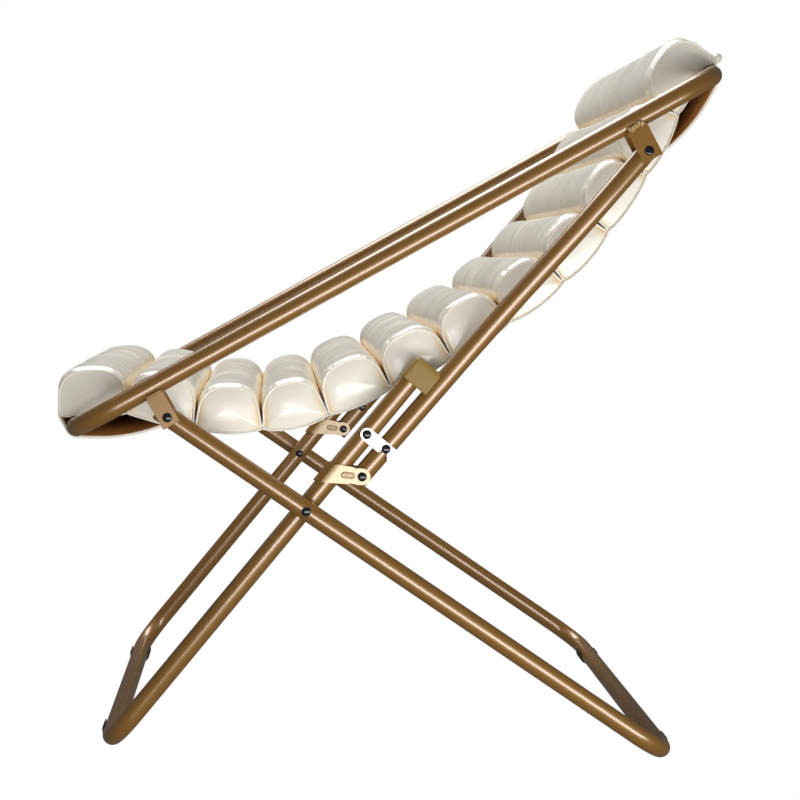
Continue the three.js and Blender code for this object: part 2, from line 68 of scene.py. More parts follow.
# Studio. A white floor that runs out into a white room, a long soft box low down in front of the chair, below
# the camera's view, and one overhead, so that each tube carries one pale streak and has dark edges.
floor_radius = 4.0
floor_sides = 96
floor_level = -0.0004
floor_bounce = 0.34
room_white = (1, 1, 1, 1)
room_glow = 0.31
mirror_share = 0.3
soft_boxes = {
    "soft_box_low": {"place": (1.2, 0.33, 0.08), "aim": (0, 0, 0.4), "size": (1.5, 0.34), "watts": 16},
    "soft_box_above": {"place": (-0.8, -0.4, 2.2), "aim": (0, 0, 0.4), "size": (1.5, 1.5), "watts": 44},
}


class Socket:
    """An output of a shader node, so that maths on it reads as an expression."""

    def __init__(self, tree, output):
        self.tree, self.output = tree, output

    def maths(self, operation, *values):
        return add_node(self.tree, "Math", {"operation": operation}, dict(enumerate(values)))

    def __add__(self, other):
        return self.maths("ADD", self, other)

    __radd__ = __add__

    def __sub__(self, other):
        return self.maths("SUBTRACT", self, other)

    def __rsub__(self, other):
        return self.maths("SUBTRACT", other, self)

    def __mul__(self, other):
        return self.maths("MULTIPLY", self, other)

    __rmul__ = __mul__

    def __pow__(self, other):
        return self.maths("POWER", self, other)

    def __rpow__(self, other):
        return self.maths("POWER", other, self)


def add_node(tree, kind, settings=None, values=None, output=0):
    """A shader node of a kind, with its settings made first and then its sockets set or linked."""
    node = tree.nodes.new("ShaderNode" + kind)
    settings = dict(settings or {})
    for place, (position, color) in enumerate(settings.pop("stops", [])):
        stops = node.color_ramp.elements
        stop = stops[place] if place < len(stops) else stops.new(position)
        stop.position, stop.color = position, color
    for name, value in settings.items():
        setattr(node, name, value)
    for name, value in (values or {}).items():
        if isinstance(value, Socket):
            tree.links.new(value.output, node.inputs[name])
        else:
            node.inputs[name].default_value = value
    return Socket(tree, node.outputs[output])


def glow_white(tree, kind, ending, strength):
    """Plain white to the camera. For all else it glows, and a shiny surface mirrors a share of the glow."""
    glossy = add_node(tree, "LightPath", output="Is Glossy Ray")
    ends = {"Value": glossy, "To Min": strength, "To Max": strength * mirror_share}
    dimmed = add_node(tree, "MapRange", values=ends, output="Result")
    glow = add_node(tree, kind, values={"Color": room_white, "Strength": dimmed})
    seen = add_node(tree, kind, values={"Color": room_white})
    by_camera = add_node(tree, "LightPath", output="Is Camera Ray")
    both = add_node(tree, "MixShader", values={0: by_camera, 1: glow, 2: seen})
    tree.links.new(both.output, tree.nodes[ending].inputs["Surface"])


def circle(count):
    """Angles that run evenly once round."""
    return np.linspace(0, 2 * np.pi, count, endpoint=False)


def light_floor():
    angle = circle(floor_sides)
    rim = np.stack([np.cos(angle), np.sin(angle), np.zeros(floor_sides)], axis=1) * floor_radius
    rim[:, 2] = floor_level
    mesh = bpy.data.meshes.new("floor")
    mesh.from_pydata(rim.tolist(), [], [list(range(floor_sides))])
    floor = bpy.data.objects.new("floor", mesh)
    bpy.context.scene.collection.objects.link(floor)
    finish = bpy.data.materials.new("floor_white")
    finish.use_nodes = True
    glow_white(finish.node_tree, "Emission", "Material Output", floor_bounce)
    mesh.materials.append(finish)


def light_room():
    world = bpy.data.worlds.new("room")
    bpy.context.scene.world = world
    world.use_nodes = True
    glow_white(world.node_tree, "Background", "World Output", room_glow)


def hang_soft_box(name, place, aim, size, watts):
    lamp = bpy.data.lights.new(name, "AREA")
    lamp.shape = "RECTANGLE"
    lamp.size, lamp.size_y = size
    lamp.energy = watts
    holder = bpy.data.objects.new(name, lamp)
    holder.location = place
    holder.rotation_euler = (Vector(aim) - Vector(place)).to_track_quat("-Z", "Y").to_euler()
    bpy.context.scene.collection.objects.link(holder)


light_floor()
light_room()
for box_name, box in soft_boxes.items():
    hang_soft_box(box_name, **box)
bpy.context.scene.view_settings.view_transform = "Standard"

# Tube frame. One hoop that carries the seat, two U-shaped leg frames and two struts, all bent from round
# steel tube and finished in satin gold paint with fine metal flake. A tube's ends are cut square.
mm = 0.001
tube_radius = 10 * mm
tube_wall = 1.4 * mm
tube_edge = 0.4 * mm
tube_sides = 48
weld_distance = 0.002 * mm
sharp_angle = 40
run_steps = 18
bend_steps = 20
outer_x = 269.5 * mm
inner_x = 244.5 * mm
hoop_bend = 55 * mm
foot_bend = 42 * mm
hoop_seam = 0.4 * mm
strut_end_reach = 8.9 * mm
strut_lower_run = 140 * mm
strut_upper_run = 50 * mm
strut_steps = 40
leg_top_reach = 12 * mm
inner_leg_reach = 184 * mm
hoop_drop = 34 * mm
hoop_front_reach = 92 * mm
hoop_rear_reach = 108 * mm
hoop_pivot_span = 552 * mm
gold_light = (0.290, 0.135, 0.014)
gold_dark = (0.235, 0.105, 0.009)
gold_constants = {"Coat Roughness": 0.26, "Coat IOR": 1.8, "Metallic": 0.3}
sides = {"right": 1, "left": -1}

# Places in side view, as Y and Z
front_pivot = np.array([-223, 356]) * mm
rear_foot = np.array([302, 12]) * mm
front_foot = np.array([-279, 12]) * mm
crossing = np.array([-82.061, 263.651]) * mm
leg_pivot = np.array([-25.477, 297.336]) * mm
rear_pivot = np.array([252.619, 636.161]) * mm


def unit(way):
    return way / np.linalg.norm(way)


def units(ways):
    """A row of directions, each cut or drawn out to length 1."""
    return ways / np.linalg.norm(ways, axis=-1, keepdims=True)


def turned(way):
    """Side view directions turned a quarter anticlockwise."""
    return np.stack([-way[..., 1], way[..., 0]], axis=-1)


def run_along(places):
    """How far along the line each of its places lies."""
    return np.concatenate([[0], np.cumsum(np.linalg.norm(np.diff(places, axis=0), axis=1))])


def read_off(at, run, line):
    """The line's places, or what goes with them, at given runs along it."""
    return np.stack([np.interp(at, run, line[:, k]) for k in range(2)], axis=-1)


outer_way = unit(front_pivot - rear_foot)
inner_way = unit(crossing - front_foot)
inner_out = -turned(inner_way)
hoop_way = unit(rear_pivot - front_pivot)
hoop_up = turned(hoop_way)
strut_way = unit(rear_pivot - leg_pivot)
strut_length = np.linalg.norm(rear_pivot - leg_pivot)
front_bar = front_pivot - hoop_way * hoop_front_reach + hoop_up * hoop_drop
rear_bar = front_pivot + hoop_way * (hoop_pivot_span + hoop_rear_reach) + hoop_up * hoop_drop
outer_top = front_pivot + outer_way * leg_top_reach
inner_top = crossing + inner_way * inner_leg_reach


def in_space(x, place):
    """Points at x, with side view places (..., 2) as their Y and Z."""
    place = np.asarray(place, float)
    x = np.broadcast_to(np.asarray(x, float), place.shape[:-1])
    return np.concatenate([x[..., None], place], axis=-1)


def smooth_step(low, high, value):
    """0 below low, 1 above high, and 3t^2 - 2t^3 between, where t is the share of the way."""
    share = np.clip((value - low) / (high - low), 0, 1)
    return share * share * (3 - 2 * share)


def grid_faces(rows, columns, rows_close=False, columns_close=False):
    """Quads between neighbouring points of a grid that is listed row after row."""
    row = np.arange(rows if rows_close else rows - 1)
    column = np.arange(columns if columns_close else columns - 1)
    row, column = (a.ravel() for a in np.meshgrid(row, column, indexing="ij"))
    next_row, next_column = (row + 1) % rows, (column + 1) % columns
    first, second = row * columns + column, row * columns + next_column
    third, fourth = next_row * columns + next_column, next_row * columns + column
    return np.stack([first, second, third, fourth], axis=1)


def add_mesh(name, points, faces, closed=True, sharp_degrees=sharp_angle):
    """A smooth shaded object from points and faces; a closed one is welded and turned outwards."""
    mesh = bpy.data.meshes.new(name)
    mesh.from_pydata(np.asarray(points).reshape(-1, 3).tolist(), [], [list(map(int, f)) for f in faces])
    if closed:
        shell = bmesh.new()
        shell.from_mesh(mesh)
        bmesh.ops.remove_doubles(shell, verts=shell.verts, dist=weld_distance)
        bmesh.ops.recalc_face_normals(shell, faces=shell.faces)
        shell.to_mesh(mesh)
        shell.free()
    mesh.shade_smooth()
    mesh.set_sharp_from_angle(angle=math.radians(sharp_degrees))
    piece = bpy.data.objects.new(name, mesh)
    bpy.context.scene.collection.objects.link(piece)
    return piece


def fit_piece(piece, body, slot, finish, *nodes):
    """The piece gets its finish, rides on its body and stands for its CAD nodes."""
    piece.data.materials.append(finish)
    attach(piece, body)
    if nodes:
        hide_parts(*nodes)


def add_pair(name, shell, body, slot, finish, node=None, edge=0, sharp_degrees=sharp_angle):
    """The same piece on both sides of the chair. The shell is made for a side, 1 or -1, and {} in the name of
    a body stands for the side's name."""
    for side_name, side in sides.items():
        piece = add_mesh(f"{name}_{side_name}", *shell(side), sharp_degrees=sharp_degrees)
        if edge:
            round_edges(piece, edge)
        nodes = [f"{node}_{side_name}"] if node else []
        fit_piece(piece, body.format(side_name), slot, finish, *nodes)


def object_place(tree, scale=(1, 1, 1)):
    place = add_node(tree, "TexCoord", output="Object")
    return add_node(tree, "Mapping", values={"Vector": place, "Scale": scale})


def noise(tree, scale, detail, stretch=(1, 1, 1)):
    values = {"Vector": object_place(tree, stretch), "Scale": scale, "Detail": detail}
    return add_node(tree, "TexNoise", values=values)


def blend_colors(tree, share, low, high):
    mix = add_node(tree, "Mix", {"data_type": "RGBA"}, {"Factor": share}).output.node
    for name, value in {"A": low, "B": high}.items():
        socket = next(s for s in mix.inputs if s.name == name and s.type == "RGBA")
        if isinstance(value, Socket):
            tree.links.new(value.output, socket)
        else:
            socket.default_value = (*value, 1)
    return Socket(tree, next(s for s in mix.outputs if s.type == "RGBA"))


def new_finish(name, constants):
    """A material whose Principled shader has the given constant sockets; returns it and its tree."""
    finish = bpy.data.materials.new(name)
    finish.use_nodes = True
    shader = finish.node_tree.nodes["Principled BSDF"]
    for socket, value in constants.items():
        shader.inputs[socket].default_value = value
    return finish, finish.node_tree


def feed(finish, **sockets):
    """Links what varies over the surface to the shader; bump is a pair of a height and a depth in metres."""
    tree = finish.node_tree
    shader = tree.nodes["Principled BSDF"]
    names = {"color": "Base Color", "roughness": "Roughness", "bump": "Normal"}
    for key, value in sockets.items():
        if key == "bump":
            height, depth = value
            value = add_node(tree, "Bump", values={"Height": height, "Distance": depth})
        tree.links.new(value.output, shader.inputs[names[key]])


def gold_paint(name, dark, light, roughness, flake_depth, coat):
    """Satin metallic paint: fine flake sparkles in it, and its tone drifts slowly over a tube."""
    finish, tree = new_finish(name, {"Coat Weight": coat, **gold_constants})
    flake = noise(tree, 2600, detail=1)
    drift = noise(tree, 9, detail=3)
    tone = flake * 0.3 + drift * 0.7
    color = blend_colors(tree, add_node(tree, "Clamp", values={"Value": (tone - 0.2) * 1.7}), dark, light)
    orange_peel = noise(tree, 420, detail=2)
    feed(finish, color=color, roughness=flake * 0.1 + (roughness - 0.06) + drift * 0.03,
         bump=(flake * 0.15 + orange_peel, flake_depth))
    return finish


def straight_run(start, end):
    """Evenly spaced places between two ends, which are left out."""
    return start + np.linspace(0, 1, run_steps + 2)[1:-1, None] * (end - start)


def bent_path(corners, bend):
    """Places and directions along straight runs joined by arcs. On an arc a place is its start plus the bend
    radius times (sin a of the arriving direction + (1 - cos a) of the inward one)."""
    corners = np.asarray(corners, float)
    places, ways = [corners[:1]], [unit(corners[1] - corners[0])[None]]
    for before, corner, after in zip(corners[:-2], corners[1:-1], corners[2:]):
        arrive, leave = unit(corner - before), unit(after - corner)
        turn = math.acos(float(arrive @ leave))
        inward = unit(leave - arrive * float(arrive @ leave))
        angle = np.linspace(0, turn, bend_steps)[:, None]
        start = corner - arrive * bend * math.tan(turn / 2)
        places.append(straight_run(places[-1][-1], start))
        ways.append(np.tile(arrive, (run_steps, 1)))
        places.append(start + bend * (np.sin(angle) * arrive + (1 - np.cos(angle)) * inward))
        ways.append(np.cos(angle) * arrive + np.sin(angle) * inward)
    places.extend([straight_run(places[-1][-1], corners[-1]), corners[-1:]])
    ways.append(np.tile(unit(corners[-1] - corners[-2]), (run_steps + 1, 1)))
    return np.concatenate(places), np.concatenate(ways)


def tube_shell(places, ways, normal):
    """A hollow tube with square ends: circles along the path outside, then back again inside the wall.
    A point is the place + radius (cos a of the normal + sin a of the direction across it)."""
    edges = np.array([[0, -tube_edge], [tube_edge, 0]])
    first = [(places[0] + ways[0] * inset, ways[0], tube_radius + cut) for inset, cut in edges]
    last = [(places[-1] - ways[-1] * inset, ways[-1], tube_radius + cut) for inset, cut in edges[::-1]]
    outside = first + [(p, w, tube_radius) for p, w in zip(places[1:-1], ways[1:-1])] + last
    bore = tube_radius - tube_wall
    inside = [(p, w, bore) for p, w in zip(places[::-1], ways[::-1])]
    centre, way, radius = (np.array(a) for a in zip(*(outside + inside)))
    angle = circle(tube_sides)[None, :, None]
    across = np.cross(way, normal)[:, None]
    spoke = np.cos(angle) * normal + np.sin(angle) * across
    points = centre[:, None] + radius[:, None, None] * spoke
    return points, grid_faces(len(centre), tube_sides, rows_close=True, columns_close=True)


def hoop_path():
    corners = [
        in_space(hoop_seam, rear_bar),
        in_space(outer_x, rear_bar),
        in_space(outer_x, front_bar),
        in_space(-outer_x, front_bar),
        in_space(-outer_x, rear_bar),
        in_space(-hoop_seam, rear_bar),
    ]
    return bent_path(corners, hoop_bend)


def leg_path(x, foot, top):
    corners = [in_space(x, top), in_space(x, foot), in_space(-x, foot), in_space(-x, top)]
    return bent_path(corners, foot_bend)


def strut_path(side):
    """Straight in side view; X steps smoothly from the inner legs' plane out to the hoop's."""
    run = np.linspace(-strut_end_reach, strut_length + strut_end_reach, strut_steps)
    x = inner_x + (outer_x - inner_x) * smooth_step(strut_lower_run, strut_length - strut_upper_run, run)
    places = in_space(side * x, leg_pivot + run[:, None] * strut_way)
    return places, units(np.gradient(places, axis=0))


tube_gold = gold_paint("tube_gold", gold_dark, gold_light, roughness=0.42, flake_depth=0.001 * mm, coat=1.0)
outer_path = leg_path(outer_x, rear_foot, outer_top)
inner_path = leg_path(inner_x, front_foot, inner_top)
tubes = {
    "hoop": (hoop_path(), hoop_up, "hoop", "hoop_tube"),
    "outer_legs": (outer_path, turned(outer_way), "legs_outer", "outer_leg_frame"),
    "inner_legs": (inner_path, turned(inner_way), "legs_inner", "inner_leg_frame"),
}
for tube_name, (path, normal, body, node) in tubes.items():
    tube = add_mesh(tube_name, *tube_shell(*path, in_space(0, normal)))
    fit_piece(tube, body, "gold_tube", tube_gold, node)


def strut_shell(side):
    return tube_shell(*strut_path(side), in_space(0, turned(strut_way)))


add_pair("strut_tube", strut_shell, "strut_{}", "gold_tube", tube_gold, "strut")

# Hoop brackets. Two short steel channels under each side rail of the hoop, welded to it along their tops: the
# front ones take the outer legs' tops and the rear ones the struts' tops.
part_fit = 0.3 * mm
plate_thickness = 1.8 * mm
bracket_gap = tube_radius + part_fit
bracket_outer = bracket_gap + plate_thickness
bracket_half_widths = {"front": 9.4 * mm, "rear": 11.0 * mm}
bracket_tail = 9 * mm
bracket_rise = 26 * mm
bracket_lip = 0.8 * mm
bracket_web = hoop_drop - bracket_outer
bracket_edge = 0.45 * mm
bevel_segments = 2
bevel_from = math.radians(30)
seat_gap = 0.15 * mm
seat_steps = 20


def extruded(outline, origin, x_way, y_way, depth_way, low, high):
    """A flat outline carried straight from a low depth to a high one, with a flat face at each end."""
    across, along, deep = (np.asarray(way, float) for way in (x_way, y_way, depth_way))
    flat = origin + outline[:, :1] * across + outline[:, 1:] * along
    points = np.concatenate([flat + low * deep, flat + high * deep])
    count = len(outline)
    caps = [list(range(count))[::-1], list(range(count, 2 * count))]
    return points, [*grid_faces(2, count, columns_close=True).tolist(), *caps]


def round_edges(piece, width):
    bevel = piece.modifiers.new("worn_edges", "BEVEL")
    bevel.width = width
    bevel.segments = bevel_segments
    bevel.limit_method = "ANGLE"
    bevel.angle_limit = bevel_from


def arc(centre, radius, first, last, steps):
    """Points centre + radius (cos a, sin a) from the first angle to the last."""
    angle = np.linspace(first, last, steps)[:, None]
    return np.asarray(centre) + radius * np.concatenate([np.cos(angle), np.sin(angle)], axis=1)


def channel_outline():
    """Right flange from tail to top, the round seat under the tube, the left flange and the inside back."""
    radius = tube_radius + seat_gap
    top = bracket_rise + bracket_lip
    first = math.asin((top - hoop_drop) / radius)
    seat = arc((0, hoop_drop), radius, first, -math.pi - first, seat_steps)
    flange = np.array([
        [bracket_outer, -bracket_tail],
        [bracket_outer, bracket_rise],
        [bracket_outer - bracket_lip, top],
    ])
    inside = np.array([[bracket_gap, bracket_web], [bracket_gap, -bracket_tail]])
    mirror = [-1, 1]
    return np.concatenate([flange, seat, flange[::-1] * mirror, inside[::-1] * mirror, inside])


def channel_shell(side, pivot, half_width):
    ways = ((1, 0, 0), in_space(0, hoop_up), in_space(0, hoop_way))
    return extruded(channel_outline(), in_space(side * outer_x, pivot), *ways, -half_width, half_width)


bracket_look = {"roughness": 0.46, "flake_depth": 0.012 * mm, "coat": 0.3}
bracket_gold = gold_paint("bracket_gold", gold_dark, gold_light, **bracket_look)
bracket_places = {"front": front_pivot, "rear": rear_pivot}
for place_name, pivot in bracket_places.items():
    half_width = bracket_half_widths[place_name]
    add_pair("channel_" + place_name, lambda side: channel_shell(side, pivot, half_width), "hoop",
             "gold_tube", bracket_gold, "hoop_bracket_" + place_name, bracket_edge)

# Weld beads. Rippled runs of weld metal along the tops of the bracket flanges, painted over with the frame:
# thin and even at the front brackets, heaped and lumpy at the rear ones.
bead_rows = 90
bead_sides = 20
bead_reach = 9.5 * mm
bead_up = 26.6 * mm
bead_out = 10.7 * mm
bead_wander = 0.9 * mm
wander_wave = 1.1
bead_draws = 6
bead_end_power = 6
lump_waves = ((2.3, 1), (3.7, -2), (1.4, 3))
beads = {
    "front": {"radius": 1.35 * mm, "ripple": 0.22, "lumps": 0.10, "pitch": 1.7 * mm, "rise": 0},
    "rear": {"radius": 2.9 * mm, "ripple": 0.12, "lumps": 0.5, "pitch": 2.3 * mm, "rise": 1.2 * mm},
}


def weld_bead(pivot, side, out, bead, seed):
    """A closed bead along the hoop: its radius is r (1 - |t|^6)^(1/2) times 1 + ripple cos(2 pi run / pitch)
    + lumps, where the lumps are a sum of three waves round and along the bead with seeded phases."""
    phase = np.random.default_rng(seed).uniform(0, 2 * np.pi, bead_draws)
    share = np.linspace(-1, 1, bead_rows)[:, None]
    angle = circle(bead_sides)[None]
    run = share * bead_reach
    turns = run / bead["pitch"]
    waves = [np.sin(along * turns + round_it * angle + start)
             for (along, round_it), start in zip(lump_waves, phase)]
    lump = sum(waves) / len(waves)
    wave = 1 + bead["ripple"] * np.cos(2 * np.pi * turns) + bead["lumps"] * lump
    radius = bead["radius"] * np.sqrt(1 - np.abs(share) ** bead_end_power) * wave
    wander = bead["lumps"] * bead_wander * np.sin(wander_wave * turns + phase[3])
    x = side * outer_x + out * bead_out + radius * np.cos(angle)
    rise = bead_up + bead["rise"] + wander + radius * np.sin(angle)
    place = pivot + run[..., None] * hoop_way + rise[..., None] * hoop_up
    return in_space(x, place), grid_faces(bead_rows, bead_sides, columns_close=True)


weld_gold = gold_paint("weld_gold", (0.30, 0.165, 0.05), (0.72, 0.50, 0.24), roughness=0.34,
                       flake_depth=0.10 * mm, coat=0.35)
for number, (place_name, pivot) in enumerate(bracket_places.items()):
    for side_name, side in sides.items():
        for flange, out in {"outer": 1, "inner": -1}.items():
            seed = 10 * number + side + 2 * out + 5
            shape = weld_bead(pivot, side, side * out, beads[place_name], seed)
            bead_piece = add_mesh(f"weld_{place_name}_{flange}_{side_name}", *shape)
            fit_piece(bead_piece, "hoop", "gold_tube", weld_gold)

# Leg brackets. A pressed steel strap is wrapped round each inner leg; its two flat ears reach back and hold
# the strut's lower end between them, and a slot-shaped rib is pressed into each ear. The flat ears carry a
# painted pale reflection of the light in front of the chair.
ear_radius = 8.6 * mm
wrap_half_depth = 9.9 * mm
wrap_drop = 15.6 * mm
bracket_pivot_up = 61.4 * mm
ear_waist = 0.9 * mm
waist_back = 8.5 * mm
waist_width = 3.2 * mm
rib_back = 14.5 * mm
rib_half_run = 4 * mm
rib_radius = 3 * mm
rib_height = 0.9 * mm
rib_hollow = 0.45 * mm
rib_crest_from = 0.62
rib_hollow_from = 0.2
rib_hollow_to = 0.55
# A painted shadow: a band round the rib's flank where most of the ear's painted reflection is taken away.
rib_shadow_at = 0.8
rib_shadow_width = 0.22
rib_shadow_strength = 0.75
strap_edge = 0.35 * mm
ear_flat_from = -6 * mm
ear_blend = 3 * mm
# Painted reflection: the pale colour a flat ear shows where it mirrors the bright light in front of it.
sheen_sand = (0.68, 0.51, 0.31)
tip_rows = 14
ear_rows = 56
wrap_rows = 20
ear_columns = 37
wrap_centre = crossing + inner_way * (bracket_pivot_up - wrap_drop)
ear_reach = np.linalg.norm(leg_pivot - wrap_centre)
ear_way = unit(leg_pivot - wrap_centre)
ear_square = turned(ear_way)
ear_lean = float(ear_way @ inner_out)
square_lean = float(ear_square @ inner_out)


def thicken(piece, thickness):
    """Gives a single sheet its thickness, half of it to each side."""
    wall = piece.modifiers.new("thickness", "SOLIDIFY")
    wall.thickness = thickness
    wall.offset = 0
    return wall


def mark(piece, name, values):
    """Gives each point of the piece a value that its finish reads."""
    layer = piece.data.attributes.new(name, "FLOAT", "POINT")
    layer.data.foreach_set("value", values.ravel())


def marked(tree, name):
    """The value that the piece's points are marked with."""
    return add_node(tree, "Attribute", {"attribute_name": name}, output="Fac")


def strap_half(side):
    """One half of the strap's middle sheet, from the ear's round tip to the back of the leg. On the ear a
    point is the wrap's centre + a of the ear's way + w of its square; round the leg X is
    sqrt(r^2 - out^2). Also gives how much painted reflection each point has: none round the leg, full
    on the flat ear, and less in a painted shadow round the rib."""
    radius = bracket_gap + plate_thickness / 2
    share = np.linspace(-1, 1, ear_columns)[None]
    tip = np.linspace(np.pi / 2, 0, tip_rows, endpoint=False)[:, None]
    tip_along = ear_reach + ear_radius * np.sin(tip) + 0 * share
    tip_square = ear_radius * np.cos(tip) * share
    tip_x = np.full(tip_along.shape, radius)
    out = np.concatenate([
        np.linspace(ear_reach * ear_lean, 0, ear_rows, endpoint=False),
        -radius * np.sin(np.linspace(0, np.pi / 2, wrap_rows)),
    ])[:, None]
    middle = out / ear_lean
    waist = ear_waist * np.exp(-(((middle - ear_reach + waist_back) / waist_width) ** 2))
    half = ear_radius + (wrap_half_depth - ear_radius) * np.clip(1 - middle / ear_reach, 0, 1) - waist
    square = half * share
    straighten = 1 - np.clip(out / (ear_reach * ear_lean), 0, 1)
    along = middle - square * square_lean / ear_lean * straighten
    x = np.sqrt(np.clip(radius**2 - np.minimum(out, 0) ** 2, 0, None)) + 0 * square
    along, square, x = (np.concatenate(a) for a in ((tip_along, along), (tip_square, square), (tip_x, x)))
    rib = np.hypot(np.maximum(np.abs(along - ear_reach + rib_back) - rib_half_run, 0), square)
    lift = rib_height * (1 - smooth_step(rib_crest_from * rib_radius, rib_radius, rib))
    hollow = 1 - smooth_step(rib_hollow_from * rib_radius, rib_hollow_to * rib_radius, rib)
    lift = lift - rib_hollow * hollow
    place = wrap_centre + along[..., None] * ear_way + square[..., None] * ear_square
    # Painted reflection on the flat part of the ear, dimmed by the painted shadow band round the rib.
    ear_sheen = smooth_step(ear_flat_from, ear_flat_from + ear_blend, along * ear_lean + square * square_lean)
    # The band of painted shadow round the rib's flank.
    line = np.exp(-(((rib - rib_shadow_at * rib_radius) / (rib_shadow_width * rib_radius)) ** 2))
    return in_space(side * (x + lift * (x >= radius)), place), ear_sheen * (1 - rib_shadow_strength * line)


def strap_shell():
    """Both halves end to end, as one sheet, and how pale its finish is at each point."""
    (near, near_sheen), (far, far_sheen) = strap_half(1), strap_half(-1)
    return np.concatenate([near, far[::-1][1:]]), np.concatenate([near_sheen, far_sheen[::-1][1:]])


def strap_gold():
    """The frame's gold on the wrap, with a painted pale sandy reflection of the light on the flat ears."""
    finish = gold_paint("strap_gold", gold_dark, gold_light, **bracket_look)
    tree = finish.node_tree
    color = Socket(tree, tree.nodes["Principled BSDF"].inputs["Base Color"].links[0].from_socket)
    # The painted reflection is blended in over the gold by the marked share.
    feed(finish, color=blend_colors(tree, marked(tree, "ear_sheen"), color, sheen_sand))
    return finish


pale_gold = strap_gold()
strap_points, sheen_share = strap_shell()
strap_faces = grid_faces(len(strap_points), ear_columns)
for side_name, side in sides.items():
    points = strap_points + in_space(side * inner_x, np.zeros(2))
    strap = add_mesh("ear_strap_" + side_name, points, strap_faces, closed=False)
    # Marks how much painted reflection each point of the strap shows.
    mark(strap, "ear_sheen", sheen_share)
    thicken(strap, plate_thickness)
    round_edges(strap, strap_edge)
    fit_piece(strap, "legs_inner", "pale_gold", pale_gold, "leg_bracket_" + side_name)

# Saddle caps. Moulded blocks pushed over the tops of the inner legs; a round groove down the rear face of
# each lets the strut rest in it when the chair stands open.
cap_half = 11.6 * mm
cap_front = 10.9 * mm
cap_reach = 20.6 * mm
cap_corner = 4.2 * mm
cap_groove = 10.25 * mm
cap_corner_steps = 8
cap_groove_steps = 25
cap_columns = 96
cap_middle_share = 0.25
cap_top_share = 0.5
cap_stations = np.array([-17, -16.6, -16, -10, -5, 0, 4, 6, 7.4, 8.6, 9.4, 9.8]) * mm
cap_insets = np.array([0.8, 0.25, 0, 0, 0, 0, 0, 0.3, 0.85, 1.6, 2.5, 3.2]) * mm


def cap_ring(station, inset):
    """At a station along the leg: down one side, round the two front corners, up the other side and back
    through the groove, whose centre is where the strut's axis passes; inset draws all of it in."""
    strut_run = (inner_top + station * inner_way - leg_pivot) @ inner_way / (strut_way @ inner_way)
    groove_out = (leg_pivot + strut_run * strut_way - inner_top) @ inner_out
    half, reach = cap_half - inset, cap_reach - inset
    centre = (half - cap_corner, cap_corner + inset - cap_front)
    near = arc(centre, cap_corner, 0, -np.pi / 2, cap_corner_steps)
    far = near[::-1] * [-1, 1]
    radius = cap_groove + inset
    lip = math.acos((groove_out - reach) / radius)
    sweep = np.linspace(-lip, lip, cap_groove_steps)
    groove = np.stack([radius * np.sin(sweep), groove_out - radius * np.cos(sweep)], axis=1)
    groove = groove[np.abs(groove[:, 0]) <= half]
    return np.concatenate([[[half, reach]], near, far, [[-half, reach]], groove])


def spread_evenly(line, count, closes=False):
    """The line's points spread again, evenly by length, to its last point or, if it closes, once round."""
    if closes:
        line = np.concatenate([line, line[:1]])
    run = run_along(line)
    return read_off(np.linspace(0, run[-1], count, endpoint=not closes), run, line)


def cap_shell(side):
    """Rings from the leg's axis at the lower end, up the block and in to a point on its top."""
    rings = [spread_evenly(cap_ring(s, i), cap_columns, True) for s, i in zip(cap_stations, cap_insets)]
    middle = np.array([0, cap_middle_share * cap_reach])
    top = (rings[-1] - middle) * cap_top_share + middle
    ring = np.array([np.zeros((cap_columns, 2)), *rings, top, np.tile(middle, (cap_columns, 1))])
    along = np.pad(cap_stations, (1, 2), mode="edge")[:, None, None]
    place = inner_top + along * inner_way + ring[..., 1:] * inner_out
    faces = grid_faces(len(ring), cap_columns, columns_close=True)
    return in_space(side * inner_x + ring[..., 0], place), faces


def moulded_plastic(name, low, high, roughness, grain_depth):
    """Moulded plastic: a slow cloud in its colour and a fine spark-eroded grain."""
    finish, tree = new_finish(name, {"Specular IOR Level": 0.45})
    cloud = noise(tree, 60, detail=3)
    grain = noise(tree, 1900, detail=2)
    color = blend_colors(tree, cloud * 0.7 + grain * 0.3, low, high)
    feed(finish, color=color, roughness=grain * 0.15 + (roughness - 0.07), bump=(grain, grain_depth))
    return finish


cap_olive = moulded_plastic("cap_olive", (0.20, 0.120, 0.018), (0.34, 0.215, 0.042), roughness=0.5,
                            grain_depth=0.06 * mm)
add_pair("saddle_block", cap_shell, "legs_inner", "olive_plastic", cap_olive, "saddle_cap", sharp_degrees=50)

# Hook latches. Stamped zinc plated plates on the outer faces of the inner legs; each turns on a rivet at its
# round end and hooks over a stud on the strut, which locks the chair open.
latch_up = 98 * mm
stud_run = 37.5 * mm
latch_radius = 7 * mm
latch_thickness = 1.4 * mm
latch_length = 40 * mm
heel_back = 1.6 * mm
heel_round = 2 * mm
heel_steps = 6
lip_out = 8 * mm
lip_drop = 0.5 * mm
nose_radius = 3.5 * mm
latch_edge = 0.3 * mm
zinc_line_depth = 0.01 * mm
rivet_radius = 3 * mm
latch_steps = 24
latch_pivot = crossing + inner_way * latch_up
latch_stud = leg_pivot + strut_way * stud_run
stud_out = float((latch_stud - latch_pivot) @ inner_out)
stud_up = float((latch_stud - latch_pivot) @ inner_way)
latch_face = tube_radius + part_fit


